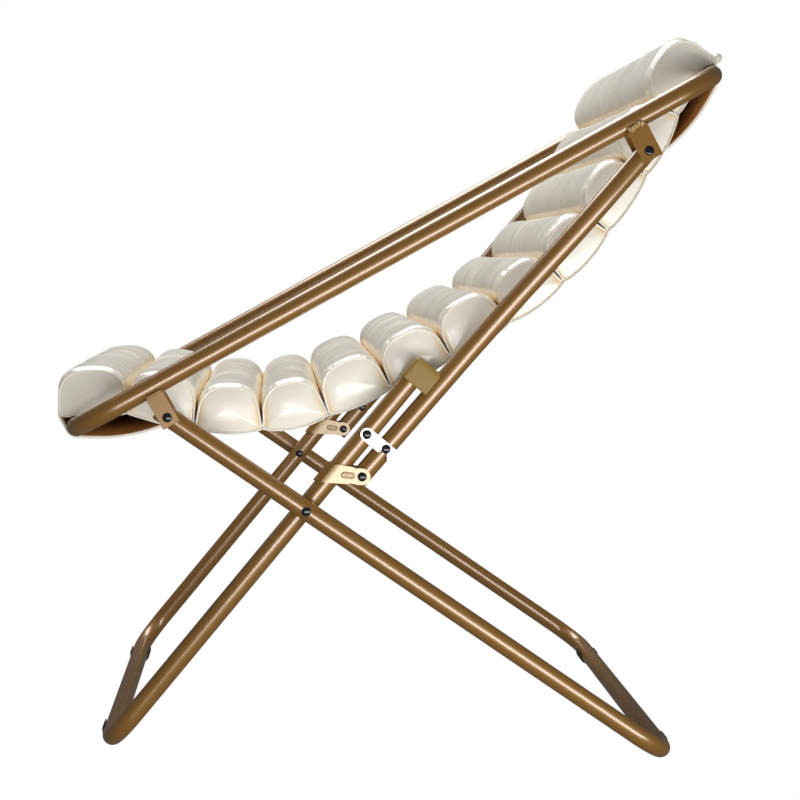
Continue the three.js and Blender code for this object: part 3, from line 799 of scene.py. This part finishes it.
def latch_outline():
    """The round end, the heel before the mouth, the mouth round the stud, the hooked lip and the nose."""
    slack = rivet_radius + 2 * part_fit
    heel = (stud_out - slack - heel_back, heel_round - latch_radius)
    nose_out = latch_length - nose_radius
    return np.concatenate([
        arc((0, 0), latch_radius, np.pi / 2, 1.5 * np.pi, latch_steps),
        arc(heel, heel_round, -np.pi / 2, 0, heel_steps),
        arc((stud_out, stud_up), slack, np.pi, 0, latch_steps),
        [[stud_out + slack, stud_up - slack], [stud_out + lip_out, -latch_radius - lip_drop]],
        arc((nose_out, -nose_radius), nose_radius, -np.pi / 2, 0, latch_steps),
        arc((nose_out, latch_radius - nose_radius), nose_radius, 0, np.pi / 2, latch_steps),
    ])


def latch_shell(side):
    pivot = in_space(side * (inner_x + latch_face), latch_pivot)
    ways = (in_space(0, inner_out), in_space(0, inner_way), (side, 0, 0))
    return extruded(latch_outline(), pivot, *ways, 0, latch_thickness)


def plated_zinc():
    """Bright zinc plate with fine drawn lines and a slow blue-grey cloud."""
    finish, tree = new_finish("plated_zinc", {"Metallic": 0.35, "Specular IOR Level": 0.7})
    lines = noise(tree, 700, stretch=(1, 6, 0.5), detail=2)
    cloud = noise(tree, 70, detail=3)
    color = blend_colors(tree, cloud, (0.88, 0.88, 0.88), (0.96, 0.96, 0.95))
    feed(finish, color=color, roughness=lines * 0.16 + 0.26, bump=(lines, zinc_line_depth))
    return finish


zinc = plated_zinc()
add_pair("latch_plate", latch_shell, "latch_{}", "zinc", zinc, "hook_latch", latch_edge)

# Rivets. Domed black heads at every pivot, on shanks that run through the plates and tubes.
rivet_head_radius = 4.75 * mm
rivet_head_height = 2.2 * mm
rivet_rim = 0.5 * mm
rivet_foot_share = 0.97
wear_depth = 0.01 * mm
rivet_sides = 40
dome_rows = 12
plate_face = tube_radius + 2 * part_fit + plate_thickness
tube_face = tube_radius + part_fit
latch_outer_face = latch_face + latch_thickness + part_fit


def rivet_head(base, way):
    """From the rim to the top: r = R cos a and height = rim + (H - rim) sin a."""
    angle = np.linspace(0, np.pi / 2, dome_rows)
    height = rivet_rim + (rivet_head_height - rivet_rim) * np.sin(angle)
    dome = np.stack([rivet_head_radius * np.cos(angle), base + way * height], axis=1)
    return np.concatenate([[[rivet_head_radius * rivet_foot_share, base]], dome])


def rivet_shell(side, place, low, high, low_head, high_head):
    """A profile of radius and depth turned round an axis along X; depth counts outwards from the chair."""
    first = rivet_head(low, -1)[::-1] if low_head else np.array([[0, low], [rivet_radius, low]])
    last = rivet_head(high, 1) if high_head else np.array([[rivet_radius, high], [0, high]])
    profile = np.concatenate([first, [[rivet_radius, low]], [[rivet_radius, high]], last])
    angle = circle(rivet_sides)[None]
    flat = profile[:, 0, None, None] * np.stack([np.cos(angle), np.sin(angle)], axis=-1)
    x = side * profile[:, 1, None] + 0 * angle
    return in_space(x, place + flat), grid_faces(len(profile), rivet_sides, columns_close=True)


def blackened_steel():
    """Black oxide over steel, worn a little paler where the noise is high."""
    constants = {"Specular IOR Level": 0.1, "Coat Weight": 0.8, "Coat Roughness": 0.05}
    finish, tree = new_finish("blackened_steel", constants)
    wear = noise(tree, 500, detail=3)
    color = blend_colors(tree, wear**3, (0.004, 0.005, 0.007), (0.03, 0.034, 0.04))
    feed(finish, color=color, roughness=wear * 0.2 + 0.3, bump=(wear, wear_depth))
    return finish


rivet_black = blackened_steel()
hoop_span = (outer_x - plate_face, outer_x + plate_face, True, True)
bracket_span = (inner_x - plate_face, inner_x + plate_face, True, True)
latch_span = (inner_x - tube_face, inner_x + latch_outer_face, True, True)
outer_half = (inner_x + tube_face + part_fit, outer_x + tube_face, False, True)
inner_half = (inner_x - tube_face, inner_x + tube_radius, True, False)
rivets = {
    "front_pivot_rivet": ("hoop", front_pivot, hoop_span),
    "rear_pivot_rivet": ("hoop", rear_pivot, hoop_span),
    "leg_pivot_rivet": ("legs_inner", leg_pivot, bracket_span),
    "latch_pivot_rivet": ("legs_inner", latch_pivot, latch_span),
    "latch_stud_rivet": ("strut_{}", latch_stud, latch_span),
    "crossing_rivet_outer": ("legs_outer", crossing, outer_half),
    "crossing_rivet_inner": ("legs_inner", crossing, inner_half),
}
for rivet_name, (body, place, span) in rivets.items():
    add_pair("stud_" + rivet_name, lambda side: rivet_shell(side, place, *span), body, "black_steel",
             rivet_black, rivet_name, sharp_degrees=60)

# Washers and spigot. Two flat washers sit between the crossed legs, and a short pin inside the hoop's rear
# bar joins the tube's two ends. They are blackened steel and keep the shapes they have in the frame.
for node_name in ("crossing_washer_right", "crossing_washer_left", "hoop_spigot"):
    for material_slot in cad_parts[node_name].material_slots:
        material_slot.material = rivet_black

# Glides. Dark plastic clips, each moulded in one piece and sprung round the underside of a foot bar. They are
# open at the top and flat where they meet the floor.
glide_half_width = 13 * mm
glide_radius = 12.3 * mm
glide_bore = 10.25 * mm
glide_flat = 12 * mm
glide_opening = 4 * mm
glide_inset = 70 * mm
glide_steps = 48
glide_edge = 0.4 * mm


def glide_outline():
    """Round the outside from one lip to the other, cut flat at the floor, and back round the bore."""
    outer_lip = math.asin(glide_opening / glide_radius)
    inner_lip = math.asin(glide_opening / glide_bore)
    outside = arc((0, 0), glide_radius, outer_lip, -np.pi - outer_lip, glide_steps)
    outside[:, 1] = np.maximum(outside[:, 1], -glide_flat)
    return np.concatenate([outside, arc((0, 0), glide_bore, -np.pi - inner_lip, inner_lip, glide_steps)])


def glide_shell(side, x, foot):
    ways = ((0, 1, 0), (0, 0, 1), (1, 0, 0))
    return extruded(glide_outline(), in_space(side * x, foot), *ways, -glide_half_width, glide_half_width)


glide_brown = moulded_plastic("glide_brown", (0.028, 0.018, 0.010), (0.055, 0.036, 0.02), roughness=0.55,
                              grain_depth=0.05 * mm)
glides = {"rear": (outer_x, rear_foot, "legs_outer"), "front": (inner_x, front_foot, "legs_inner")}
for bar_name, (leg_x, foot, body) in glides.items():
    add_pair("foot_clip_" + bar_name, lambda side: glide_shell(side, leg_x - glide_inset, foot), body,
             "dark_plastic", glide_brown, "glide_" + bar_name, glide_edge)

# Seat. Twelve stuffed channels of glossy cream faux leather lie across a slung curve. Each has a crowned
# top, a slack underside, deep creases against its neighbours and a bulging D-shaped panel in each end.
roll_count = 12
roll_seam_x = 217 * mm
end_room = 9.5 * mm
roll_height = 48 * mm
roll_belly = 3.5 * mm
roll_gap = 0.3 * mm
roll_shoulder = 22 * mm
roll_corner_rise = 1 * mm
roll_squareness = 0.7
roll_top_limit = 53 * mm
roll_belly_limit = -6.6 * mm
end_rounding = 6 * mm
end_run = 17 * mm
end_bulge = 5 * mm
end_roundness = 0.97
foot_inset = 0.3
end_scales = np.array([0.0, 0.17, 0.34, 0.52, 0.7, 0.86])
section_samples = 200
roll_rows = 73
top_columns = 35
belly_columns = 13
seat_sag = 125 * mm
seat_shares = np.array([
    [-0.0144, 0.158],
    [0.073, -0.115],
    [0.139, -0.469],
    [0.219, -0.753],
    [0.307, -0.919],
    [0.497, -0.998],
    [0.687, -0.9],
    [0.852, -0.47],
    [0.961, -0.03],
    [1.0165, 0.126],
])
seat_samples = 4000
on_chord = front_bar + seat_shares[:, :1] * (rear_bar - front_bar)
seat_knots = on_chord + seat_shares[:, 1:] * seat_sag * hoop_up


def slung_curve():
    """The smooth curve through the knots: between two knots it is the cubic whose slope at each is half the
    step from the knot before to the knot after. Returns its places, directions and run from the front."""
    knots = np.concatenate([seat_knots[:1], seat_knots, seat_knots[-1:]])
    at = np.linspace(0, len(seat_knots) - 1, seat_samples)
    first = np.minimum(at.astype(int), len(seat_knots) - 2)
    share = (at - first)[:, None]
    before, start, end, after = (knots[first + k] for k in range(4))
    leave, arrive = (end - before) / 2, (after - start) / 2
    cubic = 2 * start - 2 * end + leave + arrive
    square = -3 * start + 3 * end - 2 * leave - arrive
    places = cubic * share**3 + square * share**2 + leave * share + start
    return places, units(np.gradient(places, axis=0)), run_along(places)


curve_places, curve_ways, curve_run = slung_curve()
roll_pitch = curve_run[-1] / roll_count


def over_seat(run, height):
    """The side view place at a run along the slung curve and a height above it."""
    way = units(read_off(run, curve_run, curve_ways))
    return read_off(run, curve_run, curve_places) + turned(way) * np.asarray(height)[..., None]


def belly_height(share):
    return roll_corner_rise - (roll_corner_rise + roll_belly) * np.sin(np.pi * share) ** 0.5


def roll_section():
    """Across and height of a roll's outline: from its rear corner over the top to its front corner, then
    back along the belly. The top's height is shoulder + (height - shoulder) sin a, and across goes as
    |cos a|^squareness."""
    angle = np.linspace(0, np.pi, section_samples)
    reach = (roll_pitch / 2 - roll_gap) * np.sign(np.cos(angle)) * np.abs(np.cos(angle)) ** roll_squareness
    rise = roll_shoulder + (roll_height - roll_shoulder) * np.sin(angle)
    top = np.stack([roll_pitch / 2 + reach, rise], axis=1)
    rear, front = [roll_pitch - roll_gap, roll_corner_rise], [roll_gap, roll_corner_rise]
    top = spread_evenly(np.concatenate([[rear], top, [front]]), top_columns)
    share = np.linspace(0, 1, belly_columns + 2)[1:-1]
    belly = np.stack([roll_gap + share * (roll_pitch - 2 * roll_gap), belly_height(share)], axis=1)
    return np.concatenate([top, belly])


def roll_start():
    """The unstuffed roll as rings from one end panel's middle to the other's: (x, across, height) each."""
    section = roll_section()
    middle = np.array([roll_pitch / 2, roll_shoulder])
    x = np.linspace(-roll_seam_x, roll_seam_x, roll_rows)
    share = np.clip((np.abs(x) - roll_seam_x + end_run) / end_run, 0, 1)
    inset = end_rounding * (1 - np.sqrt(1 - end_roundness * share**2))[:, None]
    rise = section[:, 1] / roll_height
    narrow = (section[:, 0] - middle[0]) * inset / middle[0] * (foot_inset + (1 - foot_inset) * rise)
    body = np.stack([section[:, 0] - narrow, section[:, 1] - inset * rise], axis=-1)
    seam = body[0]
    panel = middle + (seam - middle) * end_scales[:, None, None]
    panel_x = roll_seam_x + end_bulge * (1 - end_scales**2)
    rings = np.concatenate([panel, body, panel[::-1]])
    all_x = np.concatenate([-panel_x, x, panel_x[::-1]])
    return np.concatenate([np.broadcast_to(all_x[:, None, None], (*rings.shape[:2], 1)), rings], axis=-1)


# The stuffing is settled as cloth: three copies of one roll are blown up softly, held along the end seams and
# the bottom corners, from a cut that is a little too long, so that ripples gather round them.
cloth_variants = 3
cloth_frames = 20
cloth_pressure = 4.0
cloth_spare = 1.05
cloth_unevenness = 0.35 * mm
cloth_reach = 8 * mm
cloth_parting = 0.2
cloth_waves = (90, 330)
cloth_wave_count = 6
cloth_wave_lean = 0.6


def cloth_shell(rings):
    """The rings as a closed mesh whose first and last rings are single points."""
    rows, columns = rings.shape[:2]
    inner = rings[1:-1].reshape(-1, 3)
    points = np.concatenate([rings[:1, 0], inner, rings[-1:, 0]])
    quads = grid_faces(rows - 2, columns, columns_close=True) + 1
    column = np.arange(columns)
    after = (column + 1) % columns
    last = 1 + (rows - 3) * columns
    first_fan = np.stack([np.zeros(columns, int), 1 + after, 1 + column], axis=1)
    last_fan = np.stack([np.full(columns, len(points) - 1), last + column, last + after], axis=1)
    return points, [*quads.tolist(), *first_fan.tolist(), *last_fan.tolist()]


def rings_from(points, shape):
    rows, columns = shape[:2]
    inner = points[1:-1].reshape(rows - 2, columns, 3)
    ends = [np.broadcast_to(points[k], (1, columns, 3)) for k in (0, -1)]
    return np.concatenate([ends[0], inner, ends[1]])


def uneven(rings, seed):
    """Low waves along X, with seeded phases, that give the cloth somewhere to gather."""
    chance = np.random.default_rng(seed)
    waves = chance.uniform(*cloth_waves, cloth_wave_count)
    phases = chance.uniform(0, 2 * np.pi, cloth_wave_count)
    lean = cloth_wave_lean * np.sin(circle(rings.shape[1]))[None, :, None]
    lift = np.sin(waves * rings[..., 0, None] + phases + lean).mean(axis=-1)
    moved = rings.copy()
    moved[..., 2] += cloth_unevenness * lift * np.clip(rings[..., 2] / roll_height, 0, 1)
    return moved


def points_of(mesh):
    place = np.empty(len(mesh.vertices) * 3)
    mesh.vertices.foreach_get("co", place)
    return place.reshape(-1, 3)


def lay_cloth(rings, seed):
    """One copy as a Cloth object, parted from the others, with its seams and bottom corners pinned."""
    points, faces = cloth_shell(uneven(rings, seed))
    points[:, 1] += cloth_parting * seed
    roll = add_mesh(f"stuffing_{seed}", points, faces)
    spare = points_of(roll.data) * [cloth_spare, 1, 1]
    roll.shape_key_add(name="Basis")
    cut = roll.shape_key_add(name="cut")
    cut.data.foreach_set("co", spare.ravel())
    columns = rings.shape[1]
    ring = np.arange(len(rings) - 2) * columns + 1
    corners = np.concatenate([ring, ring + top_columns - 1])
    seams = [ring[len(end_scales) - 1] + np.arange(columns), ring[-len(end_scales)] + np.arange(columns)]
    pins = roll.vertex_groups.new(name="pins")
    pins.add([int(v) for v in np.unique(np.concatenate([corners, *seams]))], 1.0, "REPLACE")
    cloth = roll.modifiers.new("stuffing", "CLOTH")
    cloth.settings.quality = 6
    cloth.settings.use_pressure = True
    cloth.settings.uniform_pressure_force = cloth_pressure
    cloth.settings.effector_weights.gravity = 0
    cloth.settings.vertex_group_mass = "pins"
    cloth.settings.rest_shape_key = cut
    cloth.settings.bending_stiffness = 0.6
    cloth.collision_settings.use_collision = False
    cloth.point_cache.frame_end = cloth_frames
    return roll


def stuffed_rolls():
    """The rings of each variant once the cloth has settled; no point moves further than the cloth's reach."""
    rings = roll_start()
    rolls = [lay_cloth(rings, seed) for seed in range(cloth_variants)]
    scene = bpy.context.scene
    for frame_number in range(1, cloth_frames + 1):
        scene.frame_set(frame_number)
    settled = []
    for seed, roll in enumerate(rolls):
        shape = roll.evaluated_get(bpy.context.evaluated_depsgraph_get()).data
        place = points_of(shape) - [0, cloth_parting * seed, 0]
        step = rings_from(place, rings.shape) - rings
        length = np.linalg.norm(step, axis=-1, keepdims=True)
        settled.append(rings + step * np.minimum(1, cloth_reach / np.maximum(length, 1e-9)))
    scene.frame_set(1)
    for roll in rolls:
        bpy.data.objects.remove(roll)
    return settled


# Sewing and pressing. Each roll takes one settled shape, is pressed flat against its neighbours and against
# the hoop's end bars, gets the small puckers that the stitching gives it, and is laid on the slung curve.
bar_clearance = 12.2 * mm
ripple_count = 34
ripple_height = (0.3 * mm, 0.95 * mm)
ripple_width = (2.2 * mm, 5.5 * mm)
ripple_lean = 14 * mm
ripple_middle = (0.1, 0.62)
ripple_span = (0.1, 0.3)
pucker_count = 16
pucker_depth = 0.9 * mm
pucker_least = 0.3
pucker_run = 9 * mm
pucker_start = 2.5 * mm
pucker_middle = (0, 0.74)
pucker_width = (0.006, 0.016)
turned_round = 0.5
# Where the painted crease shade reaches: within this width of a neighbour, and between these heights.
crease_width = 13 * mm
crease_low = 18 * mm
crease_high = 47 * mm
piping_radius = 1.25 * mm
piping_lift = 0.5 * mm
cord_sides = 10
sideways = np.array([1.0, 0, 0])
leather_depth = 1.4 * mm


def finer(grid, axis, closes):
    """Twice as many lines along an axis: a new point is (-a + 9 b + 9 c - d) / 16 of the four round it."""
    grid = np.moveaxis(grid, axis, 0)
    count = len(grid)
    place = np.arange(count if closes else count - 1)
    near = [(place + k) % count if closes else np.clip(place + k, 0, count - 1) for k in (-1, 0, 1, 2)]
    a, b, c, d = (grid[n] for n in near)
    result = np.empty((count + len(place), *grid.shape[1:]))
    result[::2], result[1::2] = grid, (9 * (b + c) - a - d) / 16
    return np.moveaxis(result, 0, axis)


def outward(grid):
    """Unit normals of a grid of rings whose columns close, pointing out."""
    along = np.gradient(grid, axis=0)
    around = np.roll(grid, -1, axis=1) - np.roll(grid, 1, axis=1)
    normal = np.cross(around, along)
    length = np.linalg.norm(normal, axis=-1, keepdims=True)
    return normal / np.maximum(length, 1e-12)


def gathers(grid, chance):
    """Ripples: each a bell across X, whose middle leans as it runs round the roll and which fades towards its
    own ends. Puckers: short valleys that run in from the end seams and fade away from them."""
    x = grid[..., 0]
    around = np.broadcast_to(np.linspace(0, 1, grid.shape[1], endpoint=False), x.shape)
    lift = np.zeros(x.shape)
    for number in range(ripple_count):
        place = chance.uniform(-1, 1) * roll_seam_x
        lean, width = chance.uniform(-1, 1) * ripple_lean, chance.uniform(*ripple_width)
        height, middle = chance.uniform(*ripple_height), chance.uniform(*ripple_middle)
        span = chance.uniform(*ripple_span)
        bell = np.exp(-(((x - place - lean * (around - middle)) / width) ** 2))
        lift += height * bell * np.exp(-(((around - middle) / span) ** 2))
    from_seam = roll_seam_x - np.abs(x)
    fade = np.exp(-((from_seam / pucker_run) ** 2)) * smooth_step(0, pucker_start, from_seam)
    for number in range(pucker_count):
        middle, width = chance.uniform(*pucker_middle), chance.uniform(*pucker_width)
        valley = chance.uniform(pucker_least, 1) * fade * np.exp(-(((around - middle) / width) ** 2))
        lift -= pucker_depth * valley
    return lift


def press_clear(points, bar):
    """Moves a point that is too near a bar's axis straight out to the clearance, in side view."""
    away = points[..., 1:] - bar
    distance = np.linalg.norm(away, axis=-1, keepdims=True)
    pushed = bar + away / np.maximum(distance, 1e-9) * np.maximum(distance, bar_clearance)
    return np.concatenate([points[..., :1], pushed], axis=-1)


def finished_roll(index, rings, chance):
    """The roll's points on the seat, and how deep in a crease each of them lies, from 0 to 1, which sets how
    much painted crease shade the finish gives it.
    """
    if chance.random() < turned_round:
        rings = rings[::-1] * [-1, 1, 1]
    grid = finer(finer(rings, 0, False), 1, True)
    on_body = np.abs(grid[..., :1]) < roll_seam_x
    grid = grid + gathers(grid, chance)[..., None] * outward(grid) * on_body
    across, height = grid[..., 1], grid[..., 2]
    across = np.clip(across, roll_gap, roll_pitch - roll_gap)
    height = np.clip(height, roll_belly_limit, roll_top_limit)
    x = grid[..., 0]
    beyond = np.maximum(np.abs(x) - roll_seam_x, 0) / end_room
    x = np.clip(x, -roll_seam_x, roll_seam_x) + np.sign(x) * end_room * np.tanh(beyond)
    edge = np.stack([across, roll_pitch - across])
    if index == 0:
        edge[0] = roll_pitch
    if index == roll_count - 1:
        edge[1] = roll_pitch
    # How deep a point lies in a crease sets how much painted shade its finish gets.
    depth = smooth_step(crease_width, 0, edge.min(axis=0)) * smooth_step(crease_high, crease_low, height)
    points = in_space(x, over_seat(index * roll_pitch + across, height))
    for bar in (front_bar, rear_bar):
        points = press_clear(points, bar)
    return points, depth


def cord_shell(path, radius, closes, reference=sideways):
    """A round cord on a path: a place + radius (cos a of the reference + sin a across it)."""
    if closes:
        way = units(np.roll(path, -1, axis=0) - np.roll(path, 1, axis=0))
    else:
        way = units(np.gradient(path, axis=0))
    first = units(reference - (way @ reference)[:, None] * way)
    second = np.cross(way, first)
    angle = circle(cord_sides)[None, :, None]
    width = np.full(len(path), radius)
    if not closes:
        width[[0, -1]] = 0
    spoke = np.cos(angle) * first[:, None] + np.sin(angle) * second[:, None]
    points = path[:, None] + width[:, None, None] * spoke
    return points, grid_faces(len(path), cord_sides, rows_close=closes, columns_close=True)


def joined(shells):
    """Several shells as one: their points in a row, and their faces renumbered."""
    points, faces, count = [], [], 0
    for shell_points, shell_faces in shells:
        flat = shell_points.reshape(-1, 3)
        points.append(flat)
        faces.extend((np.asarray(shell_faces) + count).tolist())
        count += len(flat)
    return np.concatenate(points), faces


def cream_leather(name, crease_shaded):
    """Glossy faux leather: warm cream with a faint cloud, a fine pebble grain and soft ripples that run round
    the roll. Where the piece has creases, painted shade: a golden tan for light bounced between the rolls,
    that deepens into a painted dark brown shadow at the bottom of each crease."""
    constants = {"Coat Weight": 0.35, "Coat Roughness": 0.12, "Specular IOR Level": 0.55}
    finish, tree = new_finish(name, constants)
    cloud = noise(tree, 24, detail=3)
    pebble = noise(tree, 1500, detail=3)
    ripple = noise(tree, 1.0, stretch=(95, 13, 13), detail=3)
    color = blend_colors(tree, cloud, (0.84, 0.79, 0.67), (0.92, 0.885, 0.80))
    if crease_shaded:
        # Painted shade: golden tan for light bounced between neighbouring rolls, then dark brown shadow deep
        # in the crease.
        crease_shade = marked(tree, "crease_shade")
        color = blend_colors(tree, crease_shade * 0.9, color, (0.84, 0.60, 0.28))
        color = blend_colors(tree, (crease_shade**12) * 0.7, color, (0.50, 0.26, 0.08))
    feed(finish, color=color, roughness=pebble * 0.12 + cloud * 0.06 + 0.2,
         bump=(pebble * 0.05 + ripple, leather_depth))
    return finish


roll_leather = cream_leather("roll_leather", True)
trim_leather = cream_leather("trim_leather", False)
settled_rolls = stuffed_rolls()
seam_rings = {"right": [], "left": []}
for index in range(roll_count):
    chance = np.random.default_rng(100 + index)
    points, depth = finished_roll(index, settled_rolls[index % cloth_variants], chance)
    number = f"{index + 1:02d}"
    shell_points, shell_faces = cloth_shell(points)
    roll = add_mesh("roll_" + number, shell_points, shell_faces, sharp_degrees=75)
    # Marks each point with how much painted crease shade it gets.
    mark(roll, "crease_shade", np.concatenate([depth[:1, 0], depth[1:-1].ravel(), depth[-1:, 0]]))
    fit_piece(roll, "hoop", "cream_cushion", roll_leather, "seat_roll_" + number)
    seam_row = 2 * len(end_scales)
    for side_name, row in {"left": seam_row, "right": len(points) - 1 - seam_row}.items():
        ring = points[row]
        seam_rings[side_name].append(ring + units(ring - ring.mean(axis=0)) * piping_lift)

# Piping. A thin round cord in the seat's cream is sewn into the seam all round each end panel, and stands a
# little proud of it.
for side_name, rings in seam_rings.items():
    shells = [cord_shell(ring, piping_radius, True) for ring in rings]
    piping = add_mesh("panel_piping_" + side_name, *joined(shells))
    fit_piece(piping, "hoop", "cream_cushion", trim_leather)

# Hems. The rolls' covers are sewn together along each side of the seat in a flat cream hem, which shows as a
# wavy line under the end panels.
hem_low_x = 211 * mm
hem_high_x = 219.5 * mm
hem_thickness = 1.4 * mm
hem_drop = 0.4 * mm
hem_steps = 40
hem_ends = 0.5
hem_edge = 0.5 * mm


def hem_shell(side):
    """A flat strip under the rolls' corners and bellies, drawn in to a point at each end."""
    share = np.linspace(hem_ends, roll_count - hem_ends, roll_count * hem_steps)
    height = belly_height(share % 1) - hem_drop
    low = over_seat(share * roll_pitch, height - hem_thickness)
    high = over_seat(share * roll_pitch, height)
    corners = ((hem_low_x, low), (hem_high_x, low), (hem_high_x, high), (hem_low_x, high))
    ring = np.stack([in_space(side * x, place) for x, place in corners], axis=1)
    first, last = (0 * end + end.mean(axis=1, keepdims=True) for end in (ring[:1], ring[-1:]))
    ring = np.concatenate([first, ring, last])
    return ring, grid_faces(len(ring), len(corners), columns_close=True)


add_pair("side_hem", hem_shell, "hoop", "cream_cushion", trim_leather, edge=hem_edge)

# Pockets. A fabric tunnel at each end of the seat: it leaves a seam under the second roll from the end, goes
# round the hoop's end bar and up to the end roll's outer corner. It is brown inside and cream outside, and
# its side edges are bound with a cream cord.
pocket_half_length = 205 * mm
pocket_thickness = 1.2 * mm
pocket_radius = tube_radius + part_fit + pocket_thickness / 2
pocket_columns = 70
pocket_line_steps = 50
pocket_arc_steps = 40
binding_radius = 1.5 * mm
binding_out = 1.1 * mm
rise_steps = 6
pocket_sag = 5 * mm
pocket_waver = 1.2 * mm
pocket_waves = (20, 70)
pocket_wave_count = 4
front_seam = 1.55 * roll_pitch
rear_seam = 10.45 * roll_pitch
seat_end = roll_count * roll_pitch
thread_scale = 330.0
thread_depth = 0.12 * mm
pockets = {
    "front": {"bar": front_bar, "run": front_seam, "corner": 0.0, "way": -1},
    "rear": {"bar": rear_bar, "run": rear_seam, "corner": seat_end, "way": 1},
}


def touching(place, bar, way):
    """The angle round the bar at which a line from the place touches the pocket's arc."""
    off = place - bar
    return math.atan2(off[1], off[0]) + way * math.acos(pocket_radius / np.linalg.norm(off))


def pocket_path(bar, run, corner, way):
    """The tunnel's middle line in side view, from its seam under the seat: a line that sags as sin(pi t),
    the arc round the bar, and a line to the roll's corner. Also each point's direction away from the bar."""
    start, end = over_seat(run, -roll_belly - 2 * pocket_thickness), over_seat(corner, roll_corner_rise)
    first, last = touching(start, bar, way), touching(end, bar, -way)
    turn = (way * (last - first)) % (2 * math.pi) * way
    sweep = arc(bar, pocket_radius, first, first + turn, pocket_arc_steps)
    share = np.linspace(0, 1, pocket_line_steps, endpoint=False)[:, None]
    away = -way * turned(unit(sweep[0] - start))
    line = start + share * (sweep[0] - start) + pocket_sag * np.sin(np.pi * share) * away
    rise = sweep[-1] + np.linspace(0, 1, rise_steps + 1)[1:, None] * (end - sweep[-1])
    path = np.concatenate([line, sweep, rise])
    return path, -way * turned(units(np.gradient(path, axis=0)))


def woven_lining():
    """Plain woven brown cloth: two crossed wave patterns make its threads. Its brown is painted far lighter
    than the cloth's own, as painted light for the shaded inside of the tunnel.
    """
    finish, tree = new_finish("woven_lining", {"Specular IOR Level": 0.2})
    threads = []
    for bands, scale in {"X": (1, 1, 1), "DIAGONAL": (0, 1, 1)}.items():
        values = {"Vector": object_place(tree, scale), "Scale": thread_scale, "Distortion": 0.6}
        threads.append(add_node(tree, "TexWave", {"bands_direction": bands}, values, output="Fac"))
    warp, weft = threads
    slub = noise(tree, 240, detail=3)
    tone = warp * 0.25 + weft * 0.25 + slub * 0.5
    # Painted light: both browns are about three times lighter than the cloth, standing in for light that the
    # tunnel's shaded inside does not get.
    color = blend_colors(tree, tone, (0.60, 0.27, 0.07), (0.86, 0.44, 0.14))
    weave = warp * 0.5 + weft * 0.5 + slub * 0.3
    feed(finish, color=color, roughness=slub * 0.2 + 0.65, bump=(weave, thread_depth))
    return finish


lightened_lining = woven_lining()
for pocket_name, pocket in pockets.items():
    path, outside = pocket_path(**pocket)
    x = np.linspace(-pocket_half_length, pocket_half_length, pocket_columns)
    chance = np.random.default_rng(40 + pocket["way"])
    waves = chance.uniform(*pocket_waves, pocket_wave_count)
    phases = chance.uniform(0, 2 * np.pi, pocket_wave_count)
    run = run_along(path)
    slack = np.sin(np.pi * np.clip(run / run[pocket_line_steps], 0, 1)) ** 2
    pull = np.sin(waves * x[:, None] + phases).mean(axis=1) * pocket_waver
    side_view = path[:, None] + outside[:, None] * (slack[:, None] * pull)[..., None]
    points = in_space(x, side_view)
    faces = grid_faces(len(path), pocket_columns)
    if pocket["way"] < 0:
        faces = faces[:, ::-1]
    sheet = add_mesh("tunnel_" + pocket_name, points, faces, closed=False)
    wall = thicken(sheet, pocket_thickness)
    wall.material_offset = 1
    wall.material_offset_rim = 0
    fit_piece(sheet, "hoop", "brown_fabric", lightened_lining, pocket_name + "_pocket")
    sheet.data.materials.append(trim_leather)
    edge = path + binding_out * outside
    cords = [cord_shell(in_space(side * pocket_half_length, edge), binding_radius, False)
             for side in sides.values()]
    binding = add_mesh("tunnel_binding_" + pocket_name, *joined(cords))
    fit_piece(binding, "hoop", "cream_cushion", trim_leather)

# Rear lip. The seam allowance behind the last roll, rolled up and sewn down. It wanders a little on its way
# across the seat.
rear_lip_radius = 5 * mm
rear_lip_back = 8 * mm
rear_lip_drop = 4.5 * mm
rear_lip_steps = 61
rear_lip_waves = 9
rear_lip_wander = 0.5 * mm
lip_run = np.linspace(-1, 1, rear_lip_steps)
lip_place = over_seat(seat_end, roll_corner_rise) + rear_lip_back * hoop_way - rear_lip_drop * hoop_up
lip_side_view = lip_place + np.sin(lip_run * rear_lip_waves)[:, None] * rear_lip_wander * hoop_up
lip_path = in_space(lip_run * pocket_half_length, lip_side_view)
rear_lip = add_mesh("rear_lip", *cord_shell(lip_path, rear_lip_radius, False, np.array([0, *hoop_up])))
fit_piece(rear_lip, "hoop", "cream_cushion", trim_leather)
